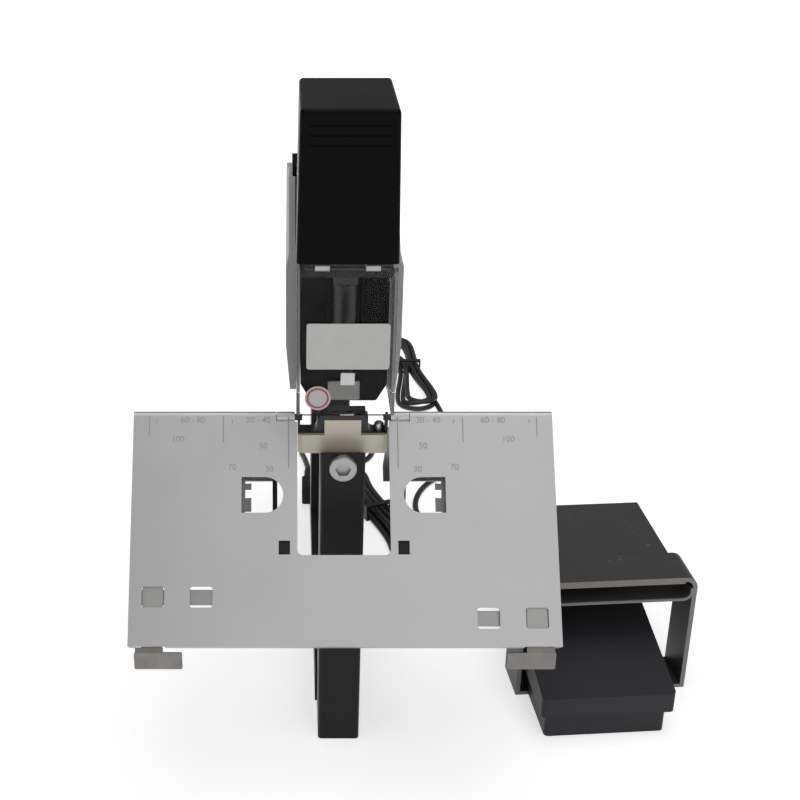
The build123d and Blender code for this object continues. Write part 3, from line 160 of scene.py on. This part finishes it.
class Surface:
    """One material with a Principled shader, and a short way to add nodes to it."""

    def __init__(self, name, colour, roughness, metallic=0.0, **constants):
        self.material = bpy.data.materials.new(name)
        self.material.use_nodes = True
        self.tree = self.material.node_tree
        self.shader = self.tree.nodes["Principled BSDF"]
        self.set("Base Color", colour)
        self.set("Roughness", roughness)
        self.set("Metallic", metallic)
        for key, amount in constants.items():
            self.set(key.replace("_", " "), amount)
        self.place = self.node("ShaderNodeTexCoord", {}, {}).outputs["Object"]
        self.material.diffuse_color = (*tuple(colour)[:3], 1)

    def node(self, kind, settings, inputs):
        node = self.tree.nodes.new(kind)
        for key, setting in settings.items():
            setattr(node, key, setting)
        for key, given in inputs.items():
            self._feed(node.inputs[key], given)
        return node

    def _feed(self, socket, given):
        if isinstance(given, Value):
            given = given.socket
        if isinstance(given, bpy.types.NodeSocket):
            self.tree.links.new(given, socket)
        elif hasattr(given, "__len__") and len(socket.default_value) == 4:
            socket.default_value = (*tuple(given)[:3], 1)
        else:
            socket.default_value = given

    def value(self, kind, settings, inputs, output=0):
        return Value(self, self.node(kind, settings, inputs).outputs[output])

    def set(self, socket, given):
        self._feed(self.shader.inputs[socket], given)

    def noise(self, scale, detail=3.0, stretch=(1, 1, 1), roughness=0.5):
        place = self.node("ShaderNodeMapping", {}, {"Vector": self.place, "Scale": stretch})
        return self.value("ShaderNodeTexNoise", {}, {"Vector": place.outputs[0], "Scale": scale,
                                                     "Detail": detail, "Roughness": roughness})

    def mix(self, amount, first, second):
        node = self.node("ShaderNodeMix", {"data_type": "RGBA"}, {0: amount, 6: first, 7: second})
        return node.outputs[2]

    def bump(self, height, strength, distance):
        node = self.node("ShaderNodeBump", {}, {"Height": height, "Strength": strength,
                                                "Distance": distance})
        self.set("Normal", node.outputs[0])

    def coordinate(self, axis):
        parts = self.node("ShaderNodeSeparateXYZ", {}, {0: self.place})
        return Value(self, parts.outputs[axis])


def shade(colour, factor):
    return tuple(min(1, part * factor) for part in tuple(colour)[:3])


def zinc_sheet():
    """Bright zinc on cold-rolled sheet: cloudy passivation and faint rolling lines."""
    s = Surface("zinc sheet", colours().zinc, 0.42, 0.9)
    cloud = s.noise(22, 4)
    lines = s.noise(90, 2, (0.15, 1, 8))
    proud = (s.coordinate(2) - hinge.z) * math.cos(slope) - s.coordinate(1) * math.sin(slope)
    plain = s.mix(cloud, shade(colours().zinc, 0.92), shade(colours().zinc, 1.08))
    # metal deeper than the set depth under the leaf's top is painted darker: painted shade under the leaf
    # and in its recesses
    s.set("Base Color", s.mix((proud < leaf_shade_depth) * 0.45, plain, shade(colours().zinc, 0.35)))
    s.set("Roughness", 0.36 + 0.10 * cloud + 0.05 * lines)
    s.bump(lines, 0.05, 0.0002)
    return s.material


def dull_zinc():
    """Older, duller zinc on the stops and the clamping screw, the stops' tips below the leaf's foot
    painted darker brown as painted shade.
    """
    s = Surface("dull zinc", (0.27, 0.26, 0.25), 0.45, 0.8)
    cloud = s.noise(120, 4)
    rub = s.noise(300, 2, (6, 1, 1))
    unshaded_zinc = s.mix(cloud, (0.34, 0.335, 0.33), (0.42, 0.42, 0.415))
    painted_tip_shade = s.mix(cloud, (0.15, 0.135, 0.12), (0.27, 0.265, 0.26))
    # below the leaf's foot the stops' tips are painted darker brown: painted shade
    s.set("Base Color", s.mix(s.coordinate(2) < leaf_foot, unshaded_zinc, painted_tip_shade))
    s.set("Roughness", 0.34 + 0.14 * cloud + 0.06 * rub)
    s.bump(rub, 0.05, 0.0001)
    return s.material


def yellow_zinc():
    """Yellow passivated zinc with a pale grey and straw cast."""
    s = Surface("yellow zinc", (0.66, 0.61, 0.48), 0.5, 0.2)
    cloud = s.noise(130, 3)
    s.set("Base Color", s.mix(cloud, (0.68, 0.62, 0.48), (0.63, 0.60, 0.52)))
    s.set("Roughness", 0.34 + 0.14 * cloud)
    return s.material


def dark_steel():
    """Oiled black oxide on machined steel."""
    s = Surface("black oxide steel", (0.03, 0.03, 0.032), 0.4, 0.6)
    grain = s.noise(400, 2, (1, 4, 1))
    s.set("Roughness", 0.30 + 0.16 * grain)
    s.set("Base Color", s.mix(grain, (0.022, 0.022, 0.024), (0.045, 0.044, 0.044)))
    s.bump(grain, 0.06, 0.0001)
    return s.material


def bright_steel():
    """Ground spring steel with fine lines along the part."""
    s = Surface("bright steel", (0.50, 0.49, 0.48), 0.3, 0.95)
    grain = s.noise(600, 2, (8, 1, 1))
    s.set("Roughness", 0.24 + 0.14 * grain)
    s.set("Base Color", s.mix(grain, (0.46, 0.45, 0.44), (0.58, 0.57, 0.56)))
    s.bump(grain, 0.05, 0.0001)
    return s.material


def nose_steel():
    """Grey phosphated steel, lighter and darker in clouds."""
    s = Surface("phosphated steel", (0.20, 0.195, 0.19), 0.45, 0.5)
    cloud = s.noise(260, 3)
    s.set("Base Color", s.mix(cloud, (0.16, 0.156, 0.15), (0.24, 0.235, 0.23)))
    s.set("Roughness", 0.38 + 0.16 * cloud)
    return s.material


def crossbar_paint():
    """Black enamel, with the hinge ears left as bright steel."""
    s = Surface("crossbar enamel", colours().frame_black, 0.4, 0.0, Specular_IOR_Level=0.2)
    ears = s.coordinate(1) < ear_front
    cloud = s.noise(60, 3)
    s.set("Base Color", s.mix(ears, shade(colours().frame_black, 0.7), (0.62, 0.62, 0.61)))
    s.set("Roughness", 0.34 + 0.12 * cloud)
    return s.material


def guard_paint():
    """Dark enamel on the bent guard of the pedal, with a painted highlight along its front edges."""
    c = colours().pedal_guard
    s = Surface("pedal guard enamel", c, 0.45, 0.0, Specular_IOR_Level=0.3)
    along = (s.coordinate(1) - pedal_centre[1]) * math.cos(pedal_yaw)
    back = along - (s.coordinate(0) - pedal_centre[0]) * math.sin(pedal_yaw)
    edge = (back < edge_highlight_band[1]) * (back > edge_highlight_band[0])
    scuff = s.noise(45, 5, (1, 1, 1), 0.7)
    worn = (s.noise(240, 2) > 0.68) * (scuff > 0.56)
    paint = s.mix(scuff, shade(c, 0.82), shade(c, 1.2))
    paint = s.mix(worn * 0.5, paint, (0.22, 0.21, 0.20))
    # the band along the front edge is painted light: a painted highlight
    s.set("Base Color", s.mix(edge * 0.85, paint, (0.34, 0.32, 0.30)))
    s.set("Roughness", 0.38 + 0.14 * scuff)
    s.bump(s.noise(900, 2), 0.05, 0.0002)
    return s.material


def satin_paint(name, colour, roughness, peel=0.06, scuff=0.2, gleam=0.3):
    """Baked enamel with a fine orange peel."""
    s = Surface(name, colour, roughness, 0.0, Specular_IOR_Level=gleam)
    cloud = s.noise(40, 3)
    fine = s.noise(900, 2)
    s.set("Base Color", s.mix(cloud, shade(colour, 1 - scuff / 2), shade(colour, 1 + scuff / 2)))
    s.set("Roughness", (roughness - 0.04) + 0.08 * cloud)
    s.bump(fine, peel, 0.0002)
    return s.material


def moulded(name, colour, roughness, grain=0.2, scale=1500, gleam=0.25):
    """Moulded plastic with a spark-eroded grain."""
    s = Surface(name, colour, roughness, 0.0, Specular_IOR_Level=gleam)
    fine = s.noise(scale, 2)
    cloud = s.noise(30, 3)
    s.set("Roughness", (roughness - 0.05) + 0.10 * cloud)
    s.set("Base Color", s.mix(cloud, shade(colour, 0.85), shade(colour, 1.15)))
    s.bump(fine, grain, 0.0002)
    return s.material


def clear_plastic():
    """Clear polycarbonate with light handling haze."""
    s = Surface("clear guard plastic", (0.96, 0.965, 0.96), 0.05, 0.0, Transmission_Weight=1.0, IOR=1.12)
    haze = s.noise(18, 4)
    s.set("Roughness", 0.02 + 0.05 * haze)
    return s.material


def copper_winding():
    """Taped copper coil with its turns showing through."""
    s = Surface("taped winding", (0.30, 0.16, 0.05), 0.45, 0.0)
    height = s.coordinate(2)
    turns = s.value("ShaderNodeMath", {"operation": "FRACT"}, {0: height * 1400})
    s.set("Base Color", s.mix(turns, (0.22, 0.10, 0.03), (0.42, 0.24, 0.09)))
    s.bump(turns, 0.3, 0.0003)
    return s.material


def board_green():
    """Green solder mask with lighter tracks."""
    s = Surface("circuit board", (0.02, 0.12, 0.05), 0.35, 0.0)
    tracks = s.value("ShaderNodeTexVoronoi", {"feature": "DISTANCE_TO_EDGE"},
                     {"Vector": s.place, "Scale": 220})
    s.set("Base Color", s.mix(tracks < 0.06, (0.015, 0.10, 0.04), (0.05, 0.22, 0.10)))
    return s.material


def lead_jacket():
    """Soft PVC sheath, slightly dusty."""
    s = Surface("lead jacket", (0.022, 0.022, 0.024), 0.45, 0.0)
    cloud = s.noise(60, 3)
    s.set("Roughness", 0.38 + 0.16 * cloud)
    s.set("Base Color", s.mix(cloud, (0.016, 0.016, 0.017), (0.035, 0.034, 0.036)))
    s.bump(s.noise(700, 2), 0.08, 0.0002)
    return s.material


def printed(name, colour, roughness):
    """Ink or film, slightly uneven."""
    s = Surface(name, colour, roughness, 0.0)
    cloud = s.noise(160, 3)
    s.set("Base Color", s.mix(cloud, shade(colour, 0.93), shade(colour, 1.05)))
    s.set("Roughness", (roughness - 0.05) + 0.1 * cloud)
    return s.material


FINISHES = {
    "zinc": ("front_leaf", "jam_latch", "rear_leaf_left", "rear_leaf_right"),
    "stop": ("anvil_screw", "paper_stop_left", "paper_stop_right"),
    "casing": ("head_core",),
    "yellow": ("anvil_bracket",),
    "dark_steel": ("anvil", "anvil_block", "hinge_pins", "pivot_rails", "plunger", "return_spring",
                   "spring_seat"),
    "nose": ("leaf_clips", "nose_plate"),
    "crossbar": ("front_crossbar",),
    "bright": ("driver_blade", "magazine", "pedal_spring", "pusher_spring", "small_screws",
               "solenoid_yoke", "staple_pusher", "staples"),
    "frame": ("anvil_column", "base_beam", "cross_foot", "frame_plates",
              "leaf_support_front", "leaf_support_rear", "rear_post"),
    "head": ("housing_left", "housing_right", "rear_panel"),
    "hood": ("front_cover", "rear_top_cover"),
    "guard": ("finger_guard",),
    "pedal": ("pedal_base", "pedal_treadle"),
    "pedal_guard": ("guard_hood", "guard_shelf", "guard_strap"),
    "rubber": ("rubber_feet", "strain_reliefs", "mains_plug", "cable_block"),
    "gloss": ("power_rocker", "rocker_bezel", "pedal_switch"),
    "tie": ("cord_ties",),
    "copper": ("solenoid_coil",),
    "board": ("circuit_board",),
}


def make_finish(kind):
    c = colours()
    makers = {
        "zinc": zinc_sheet,
        "stop": dull_zinc,
        "casing": lambda: moulded("casing plastic", (0.004, 0.004, 0.0045), 0.45, 0.02, 1200, 0.06),
        "yellow": yellow_zinc,
        "dark_steel": dark_steel,
        "bright": bright_steel,
        "nose": nose_steel,
        "crossbar": crossbar_paint,
        "frame": lambda: satin_paint("frame enamel", c.frame_black, 0.38, gleam=0.14),
        "head": lambda: satin_paint("head enamel", c.paint, 0.42),
        "hood": lambda: moulded("hood plastic", c.hood, 0.34, 0.1, 1500, 0.05),
        "guard": clear_plastic,
        "pedal": lambda: moulded("pedal plastic", c.pedal, 0.5, 0.3, 900),
        "pedal_guard": guard_paint,
        "rubber": lambda: moulded("rubber", (0.02, 0.02, 0.021), 0.62, 0.15, 800),
        "gloss": lambda: moulded("gloss black plastic", (0.012, 0.012, 0.012), 0.2, 0.02, 1200),
        "tie": lambda: moulded("wire tie", (0.015, 0.015, 0.015), 0.35, 0.1, 900),
        "copper": copper_winding,
        "board": board_green,
    }
    return makers[kind]()


# Making pieces


def start_fresh():
    if bpy.context.object and bpy.context.object.mode != "OBJECT":
        bpy.ops.object.mode_set(mode="OBJECT")
    bpy.ops.object.select_all(action="DESELECT")


def placed(piece, matrix):
    """Moves a piece's mesh to its place and leaves its origin at the world's."""
    piece.matrix_world = matrix
    start_fresh()
    piece.select_set(True)
    bpy.context.view_layer.objects.active = piece
    bpy.ops.object.transform_apply(location=True, rotation=True, scale=True)
    return piece


def settle(piece, name, body, material):
    """Names a placed piece, dresses it and lets it ride."""
    piece.name = name
    piece.data.name = name
    piece.data.materials.clear()
    piece.data.materials.append(material)
    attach(piece, body)


def raise_selected(thick):
    """Gives the selected flat faces a thickness along Z, in edit mode, and leaves edit mode."""
    bpy.ops.mesh.extrude_region_move(TRANSFORM_OT_translate={"value": (0, 0, thick)})
    bpy.ops.mesh.select_all(action="SELECT")
    bpy.ops.mesh.normals_make_consistent(inside=False)
    bpy.ops.object.mode_set(mode="OBJECT")


def thin_plate(width, height, thick, corner):
    """A flat plate with rounded corners, its back on the XY plane, made from a plane."""
    start_fresh()
    bpy.ops.mesh.primitive_plane_add(size=1)
    piece = bpy.context.object
    piece.scale = (width, height, 1)
    bpy.ops.object.transform_apply(location=False, rotation=False, scale=True)
    bpy.ops.object.mode_set(mode="EDIT")
    bpy.ops.mesh.select_all(action="SELECT")
    if corner:
        bpy.ops.mesh.bevel(offset=corner, segments=5, affect="VERTICES")
        bpy.ops.mesh.select_all(action="SELECT")
    raise_selected(thick)
    return piece


def ring(radius, inner, thick):
    """A flat ring, or a disc where inner is zero, made from a circle by inset and extrude."""
    start_fresh()
    bpy.ops.mesh.primitive_circle_add(vertices=48, radius=radius, fill_type="NGON")
    piece = bpy.context.object
    bpy.ops.object.mode_set(mode="EDIT")
    bpy.ops.mesh.select_all(action="SELECT")
    if inner:
        bpy.ops.mesh.inset(thickness=radius - inner)
        bpy.ops.mesh.delete(type="FACE")
        bpy.ops.mesh.select_all(action="SELECT")
    raise_selected(thick)
    return piece


def join_all(pieces):
    """Makes one piece of several, under the first one's data."""
    start_fresh()
    for piece in pieces:
        piece.select_set(True)
    bpy.context.view_layer.objects.active = pieces[0]
    bpy.ops.object.join()
    return bpy.context.object


def on_leaf(x, s, proud=0.0):
    """The matrix of a spot on the front leaf's top: x across, s down from the ridge."""
    flat = Matrix.Translation((x, -s, hinge.z + knuckle + proud))
    turn = Matrix.Translation(hinge) @ Matrix.Rotation(slope, 4, "X") @ Matrix.Translation(-hinge)
    return turn @ flat


def on_guard(x, z, proud=0.0):
    """The matrix of a spot on the guard's front face: x across, z up from the ridge."""
    spot = Matrix.Translation((x, guard_face - proud, ridge + z))
    return spot @ Matrix.Rotation(math.radians(90), 4, "X")


class STAPLER_OT_finishes(bpy.types.Operator):
    """Gives every piece of the frame its finish"""
    bl_idname = "stapler.finishes"
    bl_label = "Finishes of the machine"

    def execute(self, context):
        for kind, names in FINISHES.items():
            material = make_finish(kind)
            for name in names:
                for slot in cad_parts[name].material_slots:
                    slot.material = material
        return {"FINISHED"}


class STAPLER_OT_guide_marks(bpy.types.Operator):
    """Prints the staple-position lines, ticks and numbers on the front leaf"""
    bl_idname = "stapler.guide_marks"
    bl_label = "Guide marks on the table"

    def execute(self, context):
        ink = printed("grey printing ink", (0.33, 0.33, 0.34), 0.45)
        lines = []
        for x, length in guide_lines:
            for side in (-1, 1):
                strip = thin_plate(sizes().line_width, length, ink_thickness, 0)
                lines.append(placed(strip, on_leaf(side * x, length / 2 + line_start)))
        for x in guide_ticks:
            for side in (-1, 1):
                strip = thin_plate(sizes().line_width, tick_length, ink_thickness, 0)
                lines.append(placed(strip, on_leaf(side * x, tick_middle)))
        settle(join_all(lines), "guide_lines", "front_leaf", ink)
        figures = []
        for text, x, s in guide_words:
            for side in (-1, 1):
                start_fresh()
                bpy.ops.object.text_add()
                writing = bpy.context.object.data
                writing.body = text
                writing.size = sizes().figure_height * figure_to_text
                writing.extrude = ink_thickness / 2
                writing.align_x = "LEFT" if side > 0 else "RIGHT"
                bpy.ops.object.convert(target="MESH")
                figures.append(placed(bpy.context.object, on_leaf(side * x, s, ink_thickness / 2)))
        settle(join_all(figures), "guide_numbers", "front_leaf", ink)
        return {"FINISHED"}


class STAPLER_OT_guard_label(bpy.types.Operator):
    """Puts the blank pale label and the ring sticker on the clear guard"""
    bl_idname = "stapler.guard_label"
    bl_label = "Label and sticker"

    def execute(self, context):
        pale = printed("label film", colours().label, 0.35)
        label = thin_plate(sizes().label_width, sizes().label_height, label_thickness, label_corner)
        placed(label, on_guard(*label_place))
        settle(label, "guard_label", "guard", pale)
        white = printed("sticker film", (0.55, 0.55, 0.56), 0.35)
        size = sizes().sticker_size
        disc = placed(ring(size / 2, 0, sticker_thickness), on_guard(*sticker_place))
        settle(disc, "guard_sticker", "guard", white)
        red = printed("sticker ring", (0.42, 0.07, 0.07), 0.35)
        band = ring(size * ring_outer_share, size * ring_inner_share, ink_thickness)
        placed(band, on_guard(*sticker_place, sticker_thickness))
        settle(band, "guard_sticker_ring", "guard", red)
        return {"FINISHED"}


# Leads, in millimetres: the routes are those of the solids, and the hanks hold the rest of the length

mains_route = [
    (-15, 329, 12), (-17, 356, 8.5), (-22, 383, 3.2), (-16, 409, 2.6), (4, 428, 2.6), (30, 434, 2.6),
    (56, 430, 2.6), (82, 422, 2.6), (105, 429, 2.6), (113, 448, 2.6), (113.2, 470, 2.6)]
plug_route = [(55.2, 620, 7.5), (36, 622, 3.4), (18, 612, 2.6), (9, 594, 4), (8, 574, 8)]
pedal_route = [
    (-5, 329, 12), (-7, 355, 8.5), (-10, 382, 3.2), (-2, 403, 2.6), (16, 414, 2.6), (36, 409, 2.6),
    (45, 391, 2.6), (40, 371, 2.6), (27, 358, 2.6), (16.6, 347.8, 2.6)]
treadle_route = [
    (77.3, 197.6, 7.5), (83, 177, 3.2), (94, 162, 2.6), (112, 159.5, 2.6), (126, 171, 2.6),
    (127.5, 190, 2.6), (117, 207, 2.6), (100, 220, 2.6), (86, 236, 2.6), (77, 257, 2.6),
    (72, 284, 2.6), (80, 314, 2.6), (98, 338, 2.6), (124, 344, 2.6), (142, 326, 2.6),
    (147, 298, 2.6), (144, 268, 2.6), (139, 238, 2.6), (138, 208, 2.6), (139, 182, 3.4),
    (139.6, 157, 7.6), (141.7, 130.7, 9)]
turn_heights = (2.6, 2.6, 7.6, 7.6)  # two layers of a hank
run_offsets = (7.7, 2.6, 2.6, 7.7)  # of each turn's two runs from the tie in the middle
arc_pull = 1.06  # a smooth curve passes inside its points, so arcs get a larger radius
arc_step = 45
mains_folds = ((93, 492), (76, 619))  # centres of the near and the far fold
mains_waist = (89, 556, 578)  # x of the tie, and where the runs draw together
mains_near_radii = (20.2, 15, 10.4, 17.8)
mains_far_radii = (18.4, 13.2, 13.2, 18.4)
pedal_folds = ((0, -62), (0, 62))
pedal_waist = (0, -34, 34)
pedal_radii = (15.2, 10.2, 10.2, 15.2)
pedal_hank_centre = (42, 270)
pedal_hank_yaw = math.radians(22)


def arc(centre, radii, heights, start):
    """Points round a fold of a hank, one for each radius and height."""
    points = []
    for step, (radius, height) in enumerate(zip(radii, heights)):
        angle = math.radians(start + arc_step * step)
        reach = arc_pull * radius
        points.append((centre[0] + reach * math.cos(angle), centre[1] + reach * math.sin(angle), height))
    return points


def hank_turns(folds, waist, near, far, ends_near):
    """Four turns of a hank in two layers: outer and inner below, inner and outer on top.

    Runs lie along the second axis. The lead comes in on the right-hand outer run at the near end.
    """
    middle, draw_near, draw_far = waist
    last = len(turn_heights) - 1
    points = []
    for turn, z in enumerate(turn_heights):
        right, left = middle + run_offsets[turn], middle - run_offsets[turn]
        points += [(right, draw_near, z), (right, draw_far, z)]
        if turn == last and ends_near:
            break
        points += arc(folds[1], [far[turn]] * 5, [z] * 5, 0)
        if turn == last:
            break
        points += [(left, draw_far, z), (left, draw_near, z)]
        radii = [near[turn] + (near[turn + 1] - near[turn]) * share for share in (0, 0, 0.3, 0.7, 1)]
        rises = [z + (turn_heights[turn + 1] - z) * share for share in (0, 0.5, 1, 1, 1)]
        points += arc(folds[0], radii, rises, 180)
    return points


def mains_points():
    """The whole mains lead: out of the post, round its hank and on to the plug."""
    hank = hank_turns(mains_folds, mains_waist, mains_near_radii, mains_far_radii, False)
    return mains_route + hank[:-1] + plug_route


def pedal_points():
    """The pedal hank lies along Y and the lead comes in at its far end, so its second axis runs back."""
    hank = hank_turns(pedal_folds, pedal_waist, pedal_radii, pedal_radii, True)
    across, along = math.cos(pedal_hank_yaw), math.sin(pedal_hank_yaw)
    points = []
    for u, v, z in hank:
        v = -v
        points.append((pedal_hank_centre[0] + u * across - v * along,
                       pedal_hank_centre[1] + u * along + v * across, z))
    return pedal_route + points + treadle_route


def lead(name, points, material):
    """A lead on one smooth curve through its route."""
    curve = bpy.data.curves.new(name, "CURVE")
    curve.dimensions = "3D"
    spline = curve.splines.new("NURBS")
    spline.points.add(len(points) - 1)
    for point, place in zip(spline.points, points):
        point.co = (*(part / 1000 for part in place), 1)
    spline.order_u = 3
    spline.use_endpoint_u = True
    spline.resolution_u = 6
    curve.bevel_depth = sizes().lead_diameter / 2
    curve.bevel_resolution = 4
    curve.use_fill_caps = True
    piece = bpy.data.objects.new(name, curve)
    bpy.context.scene.collection.objects.link(piece)
    curve.materials.append(material)
    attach(piece, "machine")
    return piece


class STAPLER_OT_leads(bpy.types.Operator):
    """Lays the mains lead and the pedal lead with their tied hanks"""
    bl_idname = "stapler.leads"
    bl_label = "Leads and hanks"

    def execute(self, context):
        jacket = lead_jacket()
        mains = lead("mains_flex", mains_points(), jacket)
        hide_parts("mains_lead", "mains_lead_hank")
        pedal = lead("pedal_flex", pedal_points(), jacket)
        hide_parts("pedal_lead", "pedal_lead_hank")
        return {"FINISHED"}


# Studio

lamps = (  # name, place, what it aims at, width and height, power
    ("key", (0.24, -0.62, 1.45), (0, 0, 0.2), (1.2, 1.2), 3.6),
    ("front", (0.25, -1.3, 0.7), (0, 0, 0.2), (1.2, 0.9), 3),
    ("side", (-1.2, -0.3, 0.8), (0, 0, 0.2), (0.7, 0.7), 2),
    ("top", (0.1, 0.2, 1.7), (0, 0.1, 0.2), (1.0, 1.0), 6))
camera_place = (-0.031, -0.751, 0.583)
camera_tilt = math.radians(65)
lens_length = 63.8
lens_shift = 0.1375
floor_size = 12
floor_colour = (0.8, 0.8, 0.8)
shade_pool_reach = (0.3, 0.9)  # the floor's glow grows to full between these distances from the machine, so a painted shade lies on the floor round it
# the floor's glow close to the machine, dimmed there as painted shade
glow_in_shade_pool = 0.6
air_level = 0.28


def area_light(name, place, target, size, power):
    lamp = bpy.data.lights.new(name, "AREA")
    lamp.shape = "RECTANGLE"
    lamp.size, lamp.size_y = size
    lamp.energy = power
    holder = bpy.data.objects.new(name, lamp)
    bpy.context.scene.collection.objects.link(holder)
    holder.location = place
    holder.rotation_euler = (Vector(target) - Vector(place)).to_track_quat("-Z", "Y").to_euler()


def seen_white(material):
    """Pale floor that the camera, mirrors and glass see near white, with the object's shadow kept and its
    glow dimmed near the machine as a painted shade.
    """
    tree = material.node_tree
    shader = tree.nodes["Principled BSDF"]
    shader.inputs["Base Color"].default_value = (*floor_colour, 1)
    shader.inputs["Roughness"].default_value = 0.9
    shader.inputs["Specular IOR Level"].default_value = 0
    path = tree.nodes.new("ShaderNodeLightPath").outputs

    def maths(operation, first, second):
        node = tree.nodes.new("ShaderNodeMath")
        node.operation = operation
        tree.links.new(first, node.inputs[0])
        tree.links.new(second, node.inputs[1])
        return node.outputs[0]

    bounced = maths("MAXIMUM", path["Is Glossy Ray"], path["Is Transmission Ray"])
    seen = maths("MAXIMUM", path["Is Camera Ray"], bounced)
    place = tree.nodes.new("ShaderNodeTexCoord")
    away = tree.nodes.new("ShaderNodeVectorMath")
    away.operation = "LENGTH"
    tree.links.new(place.outputs["Object"], away.inputs[0])
    # the glow dims towards the machine: painted shade on the floor round it
    level = tree.nodes.new("ShaderNodeMapRange")
    for socket, number in zip(level.inputs[1:5], (*shade_pool_reach, glow_in_shade_pool, 1)):
        socket.default_value = number
    tree.links.new(away.outputs["Value"], level.inputs[0])
    shader.inputs["Emission Color"].default_value = (1, 1, 1, 1)
    tree.links.new(maths("MULTIPLY", seen, level.outputs[0]), shader.inputs["Emission Strength"])


def white_air(world):
    """White backdrop for the camera, dimmer as a light."""
    world.use_nodes = True
    tree = world.node_tree
    background = tree.nodes["Background"]
    background.inputs[0].default_value = (1, 1, 1, 1)
    path = tree.nodes.new("ShaderNodeLightPath")
    level = tree.nodes.new("ShaderNodeMix")
    tree.links.new(path.outputs["Is Camera Ray"], level.inputs[0])
    level.inputs[2].default_value = air_level
    level.inputs[3].default_value = 1
    tree.links.new(level.outputs[0], background.inputs[1])


class STAPLER_OT_studio(bpy.types.Operator):
    """Sets the pale floor and backdrop, the soft lights and the camera"""
    bl_idname = "stapler.studio"
    bl_label = "Studio"

    def execute(self, context):
        scene = context.scene
        pale = bpy.data.materials.new("studio paper")
        pale.use_nodes = True
        seen_white(pale)
        pale.cycles.emission_sampling = "NONE"
        start_fresh()
        bpy.ops.mesh.primitive_plane_add(size=floor_size, location=(0, 0, 0))
        floor = bpy.context.object
        floor.name = "studio_floor"
        floor.data.materials.append(pale)
        scene.world = bpy.data.worlds.new("studio air")
        white_air(scene.world)
        for lamp in lamps:
            area_light(*lamp)
        lens = bpy.data.cameras.new("photograph")
        lens.lens = lens_length
        lens.sensor_width = 36
        lens.shift_x = lens_shift
        lens.clip_end = 50
        camera = bpy.data.objects.new("photograph", lens)
        scene.collection.objects.link(camera)
        camera.location = camera_place
        camera.rotation_euler = (camera_tilt, 0, 0)
        scene.camera = camera
        scene.view_settings.view_transform = "Standard"
        return {"FINISHED"}


class STAPLER_PT_panel(bpy.types.Panel):
    bl_idname = "STAPLER_PT_panel"
    bl_label = "Electric stapler"
    bl_space_type = "VIEW_3D"
    bl_region_type = "UI"
    bl_category = "Stapler"

    def draw(self, context):
        for group in (context.scene.stapler_sizes, context.scene.stapler_colours):
            for name in group.__annotations__:
                self.layout.prop(group, name)
        for operator in OPERATORS:
            self.layout.operator(operator.bl_idname)


OPERATORS = (STAPLER_OT_finishes, STAPLER_OT_leads, STAPLER_OT_guide_marks, STAPLER_OT_guard_label,
             STAPLER_OT_studio)
CLASSES = (StaplerSizes, StaplerColours) + OPERATORS + (STAPLER_PT_panel,)


def register():
    for each in CLASSES:
        bpy.utils.register_class(each)
    bpy.types.Scene.stapler_sizes = PointerProperty(type=StaplerSizes)
    bpy.types.Scene.stapler_colours = PointerProperty(type=StaplerColours)


def unregister():
    del bpy.types.Scene.stapler_colours
    del bpy.types.Scene.stapler_sizes
    for each in reversed(CLASSES):
        bpy.utils.unregister_class(each)


def main():
    register()
    bpy.ops.stapler.studio()
    bpy.ops.stapler.finishes()
    bpy.ops.stapler.leads()
    bpy.ops.stapler.guide_marks()
    bpy.ops.stapler.guard_label()


if __name__ == "__main__":
    main()
